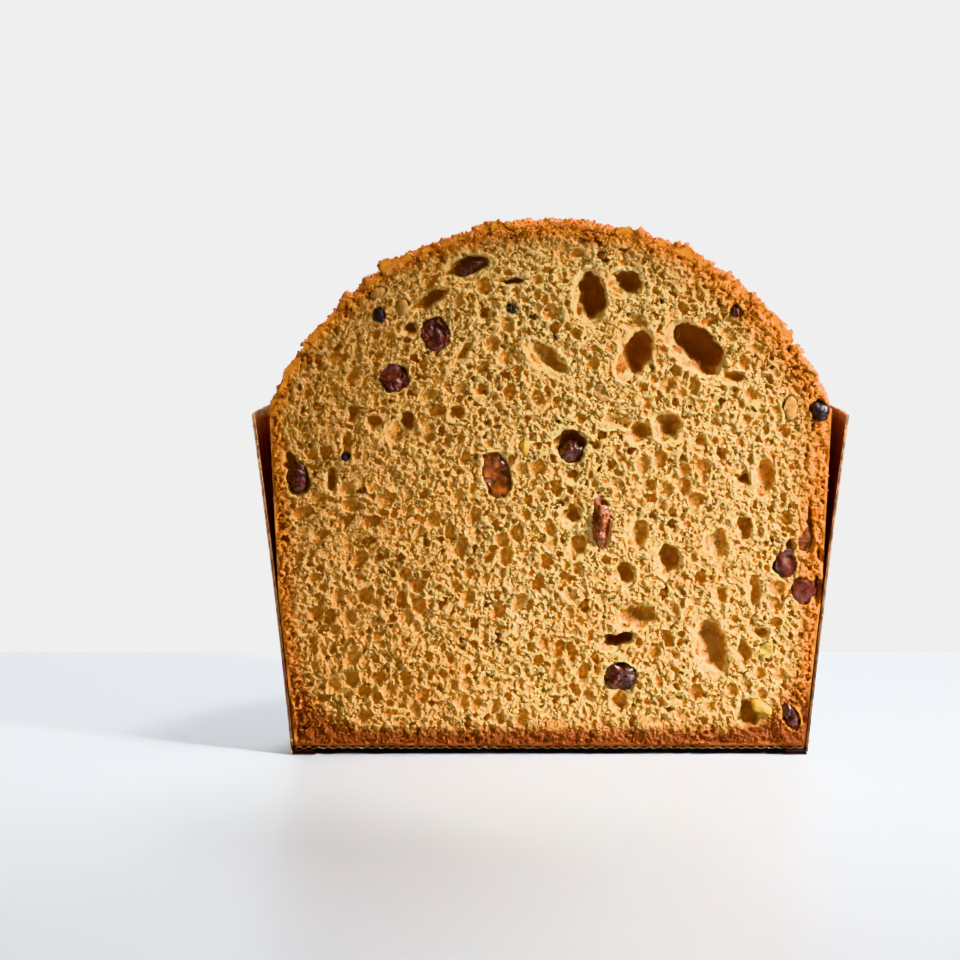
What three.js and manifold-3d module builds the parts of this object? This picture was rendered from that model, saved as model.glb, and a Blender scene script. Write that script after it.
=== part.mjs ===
// Half of a tall panettone, cut down the middle and standing in its baked-on paper case.
// Units are millimetres and +Z is up. The cut face looks along -Y. The origin is at the
// middle of the bounding box's underside.
// The loaf is one solid: a tapered side, a spherical dome with a cracked sugar crust, and
// a cut face with the larger air holes. Fruit and nuts that the knife met are solids of
// their own, each in a pocket of the crumb.
import * as THREE from "three";
import { mergeVertices } from "three/addons/utils/BufferGeometryUtils.js";
import Module from "manifold-3d";

const wasm = await Module();
wasm.setup();

// Paper case of a 1 kg loaf: 170 mm across the foot, flared by the cut to 195 mm at the rim
const CASE_FOOT_RADIUS = 85;
const CASE_HEIGHT = 113.5;
const CASE_FLARE = 0.09; // mm outwards for each mm up
const CASE_FLARE_GROWTH = 0.00016; // more flare towards the rim, for each mm squared
const CASE_WALL = 1.0;
const CASE_FLOOR_UNDERSIDE = 1.9; // the floor disc stands on the folded foot
const CASE_FLOOR_THICKNESS = 0.8;
const CASE_FOOT_WIDTH = 8;
const CASE_SEGMENTS = 72; // round the full circle
const CASE_WALL_STEPS = 6;
const TOUCH_GAP = 0.35; // between solids that touch on the real loaf

// Loaf
const DOME_RADIUS = 98.4;
const DOME_CENTRE_HEIGHT = 76.2;
const SHOULDER_HEIGHT = 113;
const SIDE_RADIUS_LOW = 86.6; // the free side's line, where the case doesn't hold it in
const SIDE_TAPER = 0.042;
const FOOT_ROUNDING = 3.5;
const LOAF_BOTTOM = CASE_FLOOR_UNDERSIDE + CASE_FLOOR_THICKNESS + TOUCH_GAP;

// Cracked crust on the dome
const CRUST_STEP = 4.2; // spacing of the dome's mesh
const PLATE_SIZE = 15;
const PLATE_RELIEF = 2.8;
const CRACK_WIDTH = 4.2;
const GRAIN_SIZE = 6;
const GRAIN_RELIEF = 0.9;
const SIDE_STEP = 9;

// Places on the cut face are [x, z], from the middle of the loaf's width and the table.
// A hole is [x, z, width, height, tilt in degrees, depth]; tilt turns it anticlockwise.
const AIR_HOLES = [
  [12.6, 150.8, 10, 17.5, 4, 9],
  [24.2, 155, 10.5, 9, 0, 7],
  [27.1, 132.2, 10, 17, -25, 8],
  [26.5, 142.3, 9, 6.5, 0, 3],
  [47.1, 134.2, 22, 12, -40, 11],
  [59.4, 124.8, 7, 4, 0, 4],
  [37.7, 108.5, 9.5, 9, 0, 5],
  [28.7, 106.8, 8.5, 6.5, 0, 5],
  [21.3, 110.4, 10, 5, 0, 2.5],
  [-1, 130.6, 15.5, 6.5, -38, 4.5],
  [-39.7, 150.2, 13.5, 4.2, 28, 6],
  [-45.8, 140.7, 5.3, 4, 25, 6],
  [-21.6, 145.3, 3.5, 4.5, -35, 4],
  [-28.7, 133.2, 3.2, 9, -38, 3],
  [-22.6, 120.5, 4.5, 5, 0, 3],
  [-64.2, 125.4, 3, 6.5, -35, 2.5],
  [-64.5, 112.7, 3.6, 5.2, -20, 4],
  [-57.4, 109.8, 4.6, 4.6, 0, 4],
  [-47.1, 110.4, 5.5, 6.5, 0, 6],
  [-50.6, 106.8, 6, 8, -20, 3],
  [-66.5, 103.6, 3.2, 6.5, -10, 3.5],
  [-71.3, 91.5, 3.5, 8, 0, 5],
  [-30.6, 113, 5, 4.5, 30, 4],
  [7.1, 92.5, 5.3, 4, 0, 4],
  [13.9, 102.6, 4, 3.8, 0, 3.5],
  [6.8, 79.8, 6, 6.6, 0, 5],
  [8.4, 69.4, 6.5, 7.5, 0, 4],
  [28.4, 73, 6, 10, -10, 4],
  [38.1, 64.5, 9, 10, 0, 6],
  [24.2, 59.9, 6.8, 8, 0, 5],
  [28.1, 45.6, 13.5, 9, 0, 5],
  [22.3, 37.8, 11.5, 5, 20, 11],
  [54.2, 69.7, 7, 11, 0, 3.5],
  [63.2, 75.2, 5, 9.5, 15, 5],
  [66.8, 54.4, 3.2, 12, 0, 3.5],
  [55.5, 52.8, 4.5, 6.5, 0, 3],
  [52.6, 35.8, 10, 20, 15, 5.5],
  [63.5, 34.2, 4.5, 9, 12, 4],
  [68.7, 40.7, 6, 3.5, 0, 4],
  [69.7, 91.9, 6.5, 12, 0, 4],
  [62.6, 91.2, 4.5, 5, 0, 5],
  [55.2, 99.7, 4.2, 4.5, 0, 3.5],
  [48.1, 103.9, 4.5, 4.2, 0, 3],
  [52.9, 109.4, 5, 4, 0, 2.5],
  [64.8, 14, 7, 9, 0, 6],
];
const SCATTERED_HOLES = 26; // where the photo shows crumb with no hole worth naming
const SCATTERED_SIZE = [3, 5.5];
const LARGE_HOLE = 9; // from this width up, a hole gets more faces

// Fruit and nuts: [kind, x, z, width, height, tilt, thickness, how deep the middle lies]
const INCLUSIONS = [
  ["raisin", -26.1, 160.6, 11, 5, 20, 6, 2.6],
  ["raisin", -55.2, 145, 4.6, 5.6, 0, 4.5, 1.6],
  ["raisin", -37.1, 139, 11, 12, 0, 7, 2.6],
  ["raisin", -50.6, 124.8, 10, 10, 0, 7, 2.6],
  ["raisin", -12.6, 147.2, 3.2, 3.6, 0, 3.4, 1.2],
  ["raisin", 6.8, 100.3, 10, 7.5, 0, 8, 3.6],
  ["raisin", -82, 91.9, 8.5, 11, 0, 7.5, 2.8],
  ["raisin", -66.5, 98.6, 3.4, 3.4, 0, 3.4, 1.2],
  ["raisin", 77.1, 63.5, 8.5, 10.4, 0, 8, 2.4],
  ["raisin", 82.9, 54.2, 8.2, 9.8, 0, 8, 2.4],
  ["raisin", 23.2, 26.4, 13, 10.4, 0, 9, 2.6],
  ["raisin", 79.2, 12.6, 5.4, 11, 24, 6, 2.2],
  ["raisin", 87.6, 114.2, 6, 7, 20, 6, 1.4],
  ["raisin", 60.3, 146.4, 4.6, 3.6, -40, 4.5, 1.4],
  ["almond", -48.1, 147.9, 4.5, 6, 0, 4, 1.2],
  ["almond", 16.5, 119.5, 7, 4.6, -45, 4.4, 1.5],
  ["almond", 78.2, 114.7, 4.8, 9.4, 0, 5, 1.8],
  ["almond", -55.8, 152.6, 6, 3.4, 30, 4, 1.2],
  ["orange_peel", -17.4, 92.8, 11, 17, 12, 9, 3.6],
  ["orange_peel", 84, 71.2, 6, 9.4, 0, 5, 1.6],
  ["orange_peel", -75.5, 115.3, 5.4, 2.8, 0, 4, 1.2],
  ["fruit_strip", 16.5, 77.5, 6.6, 21, 4, 7, 1.8],
  ["citron", 71, 35.2, 5.6, 4.6, 0, 4, 1.2],
  ["citron", -8.7, 102.3, 3, 5, 0, 3.4, 1],
  ["citron", 70.6, 15.4, 9, 4, -35, 5, 0.4],
];
const MOST_WRINKLED = { raisin: 0.16, fruit_strip: 0.2, orange_peel: 0.06, citron: 0.08, almond: 0.03 };
const SMALL_INCLUSION = 5; // narrower than this, it gets fewer faces
const POCKET_GAP = 0.4;

const COLOURS = {
  loaf: { color: 0xc08a3c, roughness: 0.85 },
  case: { color: 0x4a2018, roughness: 0.55 },
  raisin: { color: 0x34120e, roughness: 0.35 },
  almond: { color: 0xd8b878, roughness: 0.5 },
  orange_peel: { color: 0xa85c1e, roughness: 0.3 },
  fruit_strip: { color: 0x8a3418, roughness: 0.3 },
  citron: { color: 0xe0b040, roughness: 0.4 },
};

const { cos, sin, sqrt, min, max, round, PI, hypot, acos, floor, abs } = Math;

// A repeatable number from 0 to 1 for a point of an integer lattice
function hash(x, y, z, salt) {
  let h = Math.imul(x, 374761393) ^ Math.imul(y, 668265263) ^ Math.imul(z, 1442695041);
  h = Math.imul(h ^ (h >>> 13) ^ Math.imul(salt, 2246822519), 1274126177);
  return ((h ^ (h >>> 16)) >>> 0) / 4294967296;
}

// A seeded draw that scatters the small holes
function seededDraw(seed) {
  let count = 0;
  return () => hash(++count, seed, 7, 3);
}

const smooth = (t) => t * t * (3 - 2 * t);
const clampedRise = (from, to, v) => smooth(min(1, max(0, (v - from) / (to - from))));

// Smooth noise from -1 to 1, with lumps of one size
function lumps(p, size, salt) {
  const [x, y, z] = [p.x / size, p.y / size, p.z / size];
  const [ix, iy, iz] = [floor(x), floor(y), floor(z)];
  const [tx, ty, tz] = [smooth(x - ix), smooth(y - iy), smooth(z - iz)];
  let sum = 0;
  for (let corner = 0; corner < 8; corner++) {
    const [dx, dy, dz] = [corner & 1, (corner >> 1) & 1, corner >> 2];
    const weight = (dx ? tx : 1 - tx) * (dy ? ty : 1 - ty) * (dz ? tz : 1 - tz);
    sum += weight * hash(ix + dx, iy + dy, iz + dz, salt);
  }
  return sum * 2 - 1;
}

// How far a point is inside its plate of the crust: the second nearest plate centre's
// distance less the nearest one's
function insidePlate(p, size) {
  const cell = [p.x, p.y, p.z].map((v) => floor(v / size));
  let [nearest, second] = [Infinity, Infinity];
  for (let i = 0; i < 27; i++) {
    const c = [cell[0] + (i % 3) - 1, cell[1] + (floor(i / 3) % 3) - 1, cell[2] + floor(i / 9) - 1];
    const centre = c.map((v, axis) => (v + hash(c[0], c[1], c[2], 11 + axis)) * size);
    const d = hypot(p.x - centre[0], p.y - centre[1], p.z - centre[2]);
    if (d < nearest) [nearest, second] = [d, nearest];
    else second = min(second, d);
  }
  return second - nearest;
}

// Cracked plates and coarse grain, as a height over the smooth dome
function crustRelief(p) {
  const warped = p.clone();
  warped.x += 2.5 * lumps(p, 9, 21);
  warped.z += 2.5 * lumps(p, 9, 22);
  const plate = clampedRise(0.4, CRACK_WIDTH, insidePlate(warped, PLATE_SIZE));
  return PLATE_RELIEF * (plate - 0.55) + GRAIN_RELIEF * lumps(p, GRAIN_SIZE, 23);
}

const caseOuterRadius = (z) => CASE_FOOT_RADIUS + CASE_FLARE * z + CASE_FLARE_GROWTH * z * z;
const loafSideRadius = (z) =>
  min(caseOuterRadius(z) - CASE_WALL - TOUCH_GAP, SIDE_RADIUS_LOW + SIDE_TAPER * z);

// A full ring of points round the axis, two of them exactly on the cut plane
function ring(radius, z, spacing, shape = (p) => p) {
  const count = 2 * round((PI * radius) / spacing);
  return Array.from({ length: count }, (_, i) => {
    const turn = (2 * PI * i) / count;
    const y = i === 0 || i === count / 2 ? 0 : radius * sin(turn);
    return shape(new THREE.Vector3(radius * cos(turn), y, z));
  });
}

function domeRings() {
  const centre = new THREE.Vector3(0, 0, DOME_CENTRE_HEIGHT);
  const spread = acos((SHOULDER_HEIGHT - DOME_CENTRE_HEIGHT) / DOME_RADIUS);
  const count = round((DOME_RADIUS * spread) / CRUST_STEP);
  const raised = (p) => {
    const out = p.clone().sub(centre).normalize();
    const rimFade = clampedRise(SHOULDER_HEIGHT, SHOULDER_HEIGHT + 6, p.z);
    return p.addScaledVector(out, crustRelief(p) * rimFade);
  };
  const pole = raised(new THREE.Vector3(0, 0, DOME_CENTRE_HEIGHT + DOME_RADIUS));
  const rings = [[pole]];
  for (let i = 1; i < count; i++) {
    const angle = (spread * i) / count;
    const z = DOME_CENTRE_HEIGHT + DOME_RADIUS * cos(angle);
    rings.push(ring(DOME_RADIUS * sin(angle), z, CRUST_STEP, raised));
  }
  return rings;
}

function sideRings() {
  const heights = [SHOULDER_HEIGHT, 100, 84, 64, 44, 24, LOAF_BOTTOM + FOOT_ROUNDING];
  const rings = heights.map((z) => ring(loafSideRadius(z), z, SIDE_STEP));
  const foot = loafSideRadius(LOAF_BOTTOM + FOOT_ROUNDING) - FOOT_ROUNDING;
  for (const turn of [PI / 4, PI / 2]) {
    const z = LOAF_BOTTOM + FOOT_ROUNDING * (1 - sin(turn));
    rings.push(ring(foot + FOOT_ROUNDING * cos(turn), z, SIDE_STEP));
  }
  rings.push([new THREE.Vector3(0, 0, LOAF_BOTTOM)]);
  return rings;
}

// Joins each ring to the next with a band of triangles, whatever their counts. The first
// and last rings are single points on the axis.
function stitched(rings) {
  const faces = [];
  let start = 0;
  for (let r = 0; r + 1 < rings.length; r++) {
    const nextStart = start + rings[r].length;
    const [upper, lower] = [rings[r].length, rings[r + 1].length];
    const [upperSteps, lowerSteps] = [upper > 1 ? upper : 0, lower > 1 ? lower : 0];
    let [i, j] = [0, 0];
    while (i < upperSteps || j < lowerSteps) {
      const [a, b] = [start + (i % upper), nextStart + (j % lower)];
      const lowerIsBehind = (j + 0.5) / lowerSteps <= (i + 0.5) / upperSteps;
      if (i >= upperSteps || (j < lowerSteps && lowerIsBehind)) {
        faces.push(b, nextStart + ((j + 1) % lower), a);
        j++;
      } else {
        faces.push(a, b, start + ((i + 1) % upper));
        i++;
      }
    }
    start = nextStart;
  }
  return new THREE.BufferGeometry().setFromPoints(rings.flat()).setIndex(faces);
}

// The half behind the cut plane
function backHalf(solid) {
  const front = new THREE.BoxGeometry(400, 200, 400).translate(0, -100, 0);
  return solid.subtract(solidOf(front));
}

// three.js geometry to a manifold-3d solid, and back
function solidOf(geometry) {
  const bare = geometry.clone();
  for (const extra of ["normal", "uv"]) bare.deleteAttribute(extra);
  const merged = mergeVertices(bare, 1e-4);
  return new wasm.Manifold(
    new wasm.Mesh({
      numProp: 3,
      vertProperties: new Float32Array(merged.attributes.position.array),
      triVerts: new Uint32Array(merged.index.array),
    }),
  );
}

function geometryOf(solid) {
  const mesh = solid.getMesh();
  const geometry = new THREE.BufferGeometry();
  geometry.setAttribute("position", new THREE.BufferAttribute(mesh.vertProperties, 3));
  geometry.setIndex(new THREE.BufferAttribute(mesh.triVerts, 1));
  geometry.computeVertexNormals();
  return geometry;
}

// A ball stretched to half sizes [x, y, z], roughened, turned in the cut plane and placed
function pebble(halfSizes, tilt, place, sides, roughness, salt) {
  const geometry = new THREE.SphereGeometry(1, sides, round(sides * 0.55));
  geometry.rotateX(PI / 2);
  const position = geometry.getAttribute("position");
  const p = new THREE.Vector3();
  for (let i = 0; i < position.count; i++) {
    p.fromBufferAttribute(position, i);
    for (const axis of ["x", "y", "z"]) p[axis] = round(p[axis] * 1e5) / 1e5;
    p.multiplyScalar(1 + roughness * lumps(p, 0.55, salt));
    position.setXYZ(i, p.x, p.y, p.z);
  }
  geometry.scale(...halfSizes);
  geometry.rotateY(-THREE.MathUtils.degToRad(tilt));
  geometry.translate(...place);
  return geometry;
}

// An air hole is a ball whose middle lies behind the cut, so its mouth is a little narrower
function airHole([x, z, width, height, tilt, depth], salt) {
  const middle = 0.35 * depth;
  const reach = 0.65 * depth;
  const mouth = sqrt(1 - (middle / reach) ** 2);
  const halfSizes = [width / 2 / mouth, reach, height / 2 / mouth];
  const sides = max(width, height) < LARGE_HOLE ? 6 : 8;
  return solidOf(pebble(halfSizes, tilt, [x, middle, z], sides, 0.12, salt));
}

function inclusionShape([kind, x, z, width, height, tilt, thickness, sink], salt, gap) {
  const grow = 1 + gap / (min(width, height, thickness) / 2);
  const halfSizes = [width, thickness, height].map((size) => (size / 2) * grow);
  const sides = width < SMALL_INCLUSION ? 7 : 9;
  return pebble(halfSizes, tilt, [x, sink, z], sides, MOST_WRINKLED[kind], salt);
}

// Small holes where none is named, drawn out along the crust near it and upright elsewhere
function scatteredHoles() {
  const draw = seededDraw(5);
  const taken = [
    ...AIR_HOLES.map(([x, z, width, height]) => [x, z, max(width, height) / 2]),
    ...INCLUSIONS.map(([, x, z, width, height]) => [x, z, max(width, height) / 2]),
  ];
  const made = [];
  for (let attempt = 0; made.length < SCATTERED_HOLES && attempt < 4000; attempt++) {
    const [x, z] = [(draw() * 2 - 1) * 84, 10 + draw() * 152];
    const size = SCATTERED_SIZE[0] + draw() ** 2 * (SCATTERED_SIZE[1] - SCATTERED_SIZE[0]);
    const depth = size * (0.6 + 0.4 * draw());
    const fromDome = DOME_RADIUS - hypot(x, z - DOME_CENTRE_HEIGHT);
    const inset = z > SHOULDER_HEIGHT ? fromDome : loafSideRadius(z) - abs(x);
    if (inset < 8 || taken.some(([tx, tz, r]) => hypot(x - tx, z - tz) < r + size / 2 + 1.2)) continue;
    taken.push([x, z, size / 2]);
    const along = inset < 18 && z > SHOULDER_HEIGHT ? -THREE.MathUtils.radToDeg(x / DOME_RADIUS) : 90;
    made.push([x, z, size * 1.25, size * 0.8, along, depth]);
  }
  return made;
}

function loafGeometry() {
  const half = backHalf(solidOf(stitched([...domeRings(), ...sideRings()])));
  const hollows = [
    ...[...AIR_HOLES, ...scatteredHoles()].map((hole, i) => airHole(hole, 40 + i)),
    ...INCLUSIONS.map((piece, i) => solidOf(inclusionShape(piece, 200 + i, POCKET_GAP))),
  ];
  const cut = half.subtract(wasm.Manifold.union(hollows));
  const pieces = cut.decompose().sort((a, b) => b.volume() - a.volume());
  return geometryOf(pieces[0]);
}

// The case in section, from the middle of its floor out and up the inside, over the rim
// and down the outside to the foot it stands on
function caseGeometry() {
  const floorTop = CASE_FLOOR_UNDERSIDE + CASE_FLOOR_THICKNESS;
  const steps = Array.from({ length: CASE_WALL_STEPS + 1 }, (_, i) => i / CASE_WALL_STEPS);
  const footInner = CASE_FOOT_RADIUS - CASE_FOOT_WIDTH;
  const section = [
    ...steps
      .map((t) => floorTop + t * (CASE_HEIGHT - floorTop))
      .map((z) => [caseOuterRadius(z) - CASE_WALL, z]),
    ...steps.map((t) => (1 - t) * CASE_HEIGHT).map((z) => [caseOuterRadius(z), z]),
    [footInner + 0.6, 0],
    [footInner, CASE_FLOOR_UNDERSIDE],
  ];
  const rings = section.map(([radius, z]) => ring(radius, z, (2 * PI * radius) / CASE_SEGMENTS));
  const middle = (z) => [new THREE.Vector3(0, 0, z)];
  const cup = stitched([middle(floorTop), ...rings, middle(CASE_FLOOR_UNDERSIDE)]);
  return geometryOf(backHalf(solidOf(cup)));
}

function namedMesh(name, geometry, kind) {
  const material = new THREE.MeshStandardMaterial({ ...COLOURS[kind], metalness: 0, name: kind });
  const mesh = new THREE.Mesh(geometry, material);
  mesh.name = name;
  return mesh;
}

const panettone = new THREE.Group();
panettone.add(namedMesh("loaf", loafGeometry(), "loaf"));
panettone.add(namedMesh("paper_case", caseGeometry(), "case"));
const counts = {};
INCLUSIONS.forEach((piece, i) => {
  const kind = piece[0];
  counts[kind] = (counts[kind] ?? 0) + 1;
  const name = `${kind}_${String(counts[kind]).padStart(2, "0")}`;
  panettone.add(namedMesh(name, inclusionShape(piece, 200 + i, 0), kind));
});

// The cut face is built on y = 0, and the whole is then centred on its own depth
const bounds = new THREE.Box3().setFromObject(panettone);
panettone.position.y = -(bounds.min.y + bounds.max.y) / 2;

const part = new THREE.Group();
part.add(panettone);
export default part;
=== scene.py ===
# %% [markdown]
# Half a tall panettone, cut from top to bottom, standing in its paper case.
# The cut face is the subject: an open, stringy, butter-yellow crumb full of air cells,
# with raisins, almonds and candied fruit that the knife met on its way. Round it runs a
# crumbly orange crust, and behind the cut the dome is a crackled, sandy shell.
# Lengths in this file are in millimetres, in the loaf's own frame: x to the right along the
# cut, depth going back from the cut face, and z up from the table. They become metres
# only when a mesh is made.

# %% Load the frame
import math
import time

import bmesh
import bpy
import numpy as np
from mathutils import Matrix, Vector
from mathutils.bvhtree import BVHTree


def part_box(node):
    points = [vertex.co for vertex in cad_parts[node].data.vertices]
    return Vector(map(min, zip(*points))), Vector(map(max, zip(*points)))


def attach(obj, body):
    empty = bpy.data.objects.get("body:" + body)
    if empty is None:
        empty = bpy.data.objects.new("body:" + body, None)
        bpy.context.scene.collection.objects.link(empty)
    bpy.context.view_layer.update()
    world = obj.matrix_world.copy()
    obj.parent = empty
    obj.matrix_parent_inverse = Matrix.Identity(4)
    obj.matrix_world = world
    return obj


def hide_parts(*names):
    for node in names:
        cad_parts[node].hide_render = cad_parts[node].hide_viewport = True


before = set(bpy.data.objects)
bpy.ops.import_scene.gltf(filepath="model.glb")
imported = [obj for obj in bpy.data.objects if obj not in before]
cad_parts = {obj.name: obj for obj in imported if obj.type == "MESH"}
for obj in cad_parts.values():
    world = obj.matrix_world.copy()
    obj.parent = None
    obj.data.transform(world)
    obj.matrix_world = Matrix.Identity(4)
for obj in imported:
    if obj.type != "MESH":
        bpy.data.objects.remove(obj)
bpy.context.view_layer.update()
started = time.time()

MM = 0.001
CUT_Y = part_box("loaf")[0][1]  # metres, where the cut face lies in the frame
BODY = "root"
PICTURE_SIZE = 960

# %% [markdown]
# The loaf's outline comes first, because everything else is measured from it: a slightly
# tapered side that the case moulded, and a dome that rose above it and stretched into a
# near perfect ball. The same figures built the solid, so the dressed loaf keeps its form.

# %% The loaf's outline
DOME_RADIUS = 98.4
DOME_HEIGHT = 76.2  # of the ball's centre
SHOULDER = 113.0
LOAF_BOTTOM = 3.05
FOOT_ROUNDING = 3.5
CASE_FOOT_RADIUS = 85.0
CASE_FLARE = 0.09
CASE_FLARE_GROWTH = 0.00016
CASE_WALL = 1.0
CASE_HEIGHT = 113.5


def case_radius(z):
    """The outside of the paper case at a height."""
    return CASE_FOOT_RADIUS + CASE_FLARE * z + CASE_FLARE_GROWTH * z * z


def side_radius(z):
    """The loaf's side at a height, held in by the case low down and free of it above."""
    return np.minimum(case_radius(z) - CASE_WALL - 0.35, 86.6 + 0.042 * z)


def metres(points):
    """Points of the loaf's frame, in millimetres, as metres in the object's frame."""
    return np.asarray(points, dtype=np.float64) * MM + np.array([0.0, CUT_Y, 0.0])


print("case", round(2 * case_radius(CASE_HEIGHT), 1), "mm across at its rim, loaf",
      round(DOME_HEIGHT + DOME_RADIUS, 1), "mm tall")

# %% [markdown]
# Nothing on a baked loaf is smooth, so two kinds of seeded noise shape it. The first gives a
# repeatable number to each point of a lattice; between the points it is blended into soft
# lumps, or used to scatter plate centres for cracks. It takes any list of points, so the
# crust's edge on the cut face and the crust behind it come out of one pattern and meet.

# %% Lattice noise
def lattice_hash(x, y, z, salt):
    """A repeatable number from 0 to 1 for whole-number lattice points."""
    with np.errstate(over="ignore"):
        ix, iy, iz = (np.asarray(v).astype(np.int64).astype(np.uint32) for v in (x, y, z))
        h = (ix * np.uint32(374761393)) ^ (iy * np.uint32(668265263)) ^ (iz * np.uint32(1442695041))
        salted = np.uint32((salt * 2246822519) % 2**32)
        h = (h ^ (h >> np.uint32(13)) ^ salted) * np.uint32(1274126177)
        h = h ^ (h >> np.uint32(16))
    return h.astype(np.float64) / 4294967296.0


def smooth(t):
    return t * t * (3.0 - 2.0 * t)


def rise(low, high, value):
    """0 below low, 1 above high and an S curve between."""
    return smooth(np.clip((value - low) / (high - low), 0.0, 1.0))


def lumps(points, size, salt):
    """Soft noise from -1 to 1 with lumps of one size."""
    scaled = points / size
    cell = np.floor(scaled)
    t = smooth(scaled - cell)
    total = np.zeros(len(points))
    for corner in range(8):
        step = np.array([corner & 1, (corner >> 1) & 1, corner >> 2])
        weight = np.prod(np.where(step, t, 1.0 - t), axis=1)
        total += weight * lattice_hash(*(cell + step).T, salt)
    return total * 2.0 - 1.0


def inside_plate(points, size):
    """How far each point lies inside its plate, from the two nearest plate centres."""
    cell = np.floor(points / size)
    nearest = np.full(len(points), np.inf)
    second = np.full(len(points), np.inf)
    for i in range(27):
        neighbour = cell + np.array([i % 3 - 1, (i // 3) % 3 - 1, i // 9 - 1])
        centre = [(neighbour[:, a] + lattice_hash(*neighbour.T, 11 + a)) * size for a in range(3)]
        distance = np.linalg.norm(points - np.stack(centre, axis=1), axis=1)
        second = np.minimum(second, np.maximum(nearest, distance))
        nearest = np.minimum(nearest, distance)
    return second - nearest


print("three values of the noise", lumps(10.0 * np.eye(3), 7.0, 1).round(2))

# %% [markdown]
# The crust is a baked sugar glaze that cracked while the dome went on rising. It is made as a
# map of heights over the ball: plates with steep, jagged edges, finer cracks across them and
# a sandy grain. A flat map of the whole dome, in equal-area coordinates, is worked out once,
# and every mesh that needs the crust looks its height up there.

# %% Map of the crust
MAP_STEP = 0.4
MAP_REACH = 112.0
MAP_FRONT = -3.0  # the map starts a little in front of the cut
# Knobs of glaze that stand out of the outline at the cut: x, z, half width and height.
KNOBS = [
    (-50.5, 157.0, 3.8, 3.2),
    (-20.0, 170.5, 4.5, 1.2),
    (45.0, 161.0, 6.0, 1.4),
    (72.0, 137.0, 5.0, 1.0),
]


def warped(points, reach, size, salt):
    """Points pushed about by soft noise, which makes straight cracks wander."""
    pushed = points.copy()
    pushed[:, 0] += reach * lumps(points, size, salt)
    pushed[:, 2] += reach * lumps(points, size, salt + 1)
    return pushed


def crust_parts(points):
    """The crust's height over the ball and how far each point is up on a plate, 0 to 1."""
    # Behind the cut the cracks are torn, wider and of uneven width.
    behind = rise(2.0, 9.0, points[:, 1])
    wandering = warped(points, 2.5, 9.0, 21)
    jagged = warped(wandering, 1.1, 2.6, 31)
    torn = behind * (1.1 * lumps(points, 2.2, 38) + 0.8 * lumps(points, 1.2, 39))
    width = 1.9 + 0.9 * lumps(points, 16.0, 33) + behind * (0.2 + 1.3 * lumps(points, 7.0, 37))
    width = np.maximum(width, 1.1)
    plate = rise(0.5 + 0.4 * behind * (width - 0.5), width, inside_plate(jagged, 15.0) + 0.5 + torn)
    # Finer cracks cross the plates.
    fine_crack = 0.9 + behind * (0.1 + 0.7 * lumps(points, 9.0, 40))
    small_plate = rise(0.1, fine_crack, inside_plate(warped(points, 0.8, 2.0, 35), 5.6) + 0.4 * torn)
    plate *= 1.0 - 0.42 * behind * (1.0 - small_plate)
    # Plates, soft lumps and a sandy grain add up to the height.
    grain = 0.55 * lumps(points, 1.7, 41) + 0.45 * lumps(points, 0.9, 42)
    height = 2.8 * (plate - 0.6) + 0.9 * lumps(points, 6.0, 23)
    height += plate * (0.75 * (small_plate - 0.8) + (0.42 + 0.2 * behind) * grain)
    height += (1.0 - plate) * (0.16 + 0.3 * behind) * grain
    for x, z, half_width, lift in KNOBS:
        away = np.linalg.norm(points - np.array([x, 1.0, z]), axis=1) + 0.8 * lumps(points, 2.2, 38)
        height += lift * rise(1.5 * half_width, 0.6 * half_width, away)
    return height, plate


def ball_points(u, v, radius=DOME_RADIUS):
    """Points on the ball from equal-area map coordinates."""
    rho = np.hypot(u, v)
    angle = 2.0 * np.arcsin(np.clip(rho / (2.0 * DOME_RADIUS), 0.0, 1.0))
    turn = np.arctan2(v, u)
    out = np.stack([np.sin(angle) * np.cos(turn), np.sin(angle) * np.sin(turn), np.cos(angle)], axis=-1)
    return out * radius + np.array([0.0, 0.0, DOME_HEIGHT])


map_u = np.arange(-MAP_REACH, MAP_REACH + MAP_STEP, MAP_STEP)
map_v = np.arange(MAP_FRONT, MAP_REACH + MAP_STEP, MAP_STEP)
grid_u, grid_v = np.meshgrid(map_u, map_v, indexing="ij")
map_points = ball_points(grid_u.ravel(), grid_v.ravel())
map_height, map_plate = crust_parts(map_points)
map_height *= rise(SHOULDER, SHOULDER + 6.0, map_points[:, 2])
map_height = map_height.reshape(grid_u.shape)
map_plate = map_plate.reshape(grid_u.shape)


def on_map(values, points):
    """A map's value in the direction of each point, as seen from the ball's centre."""
    out = points - np.array([0.0, 0.0, DOME_HEIGHT])
    out /= np.maximum(np.linalg.norm(out, axis=1, keepdims=True), 1e-6)
    rho = 2.0 * DOME_RADIUS * np.sin(np.arccos(np.clip(out[:, 2], -1.0, 1.0)) / 2.0)
    flat = np.maximum(np.hypot(out[:, 0], out[:, 1]), 1e-9)
    a = np.clip((rho * out[:, 0] / flat + MAP_REACH) / MAP_STEP, 0, len(map_u) - 1.001)
    b = np.clip((rho * out[:, 1] / flat - MAP_FRONT) / MAP_STEP, 0, len(map_v) - 1.001)
    ia, ib = a.astype(int), b.astype(int)
    ta, tb = a - ia, b - ib
    near = values[ia, ib] * (1 - tb) + values[ia, ib + 1] * tb
    far = values[ia + 1, ib] * (1 - tb) + values[ia + 1, ib + 1] * tb
    return near * (1 - ta) + far * ta


print("crust map", map_height.shape, "heights", map_height.min().round(2), "to", map_height.max().round(2))

# %% [markdown]
# The fruit and the larger holes are read off the cut face. The places of the fruit come from
# the frame's own nodes. The holes are a short list: x, z, width, height, tilt and depth. A
# second list has the dark clefts where dough drew back from a raisin or from the crust.
# The thousands of lesser cells between them are drawn at random.

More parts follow.
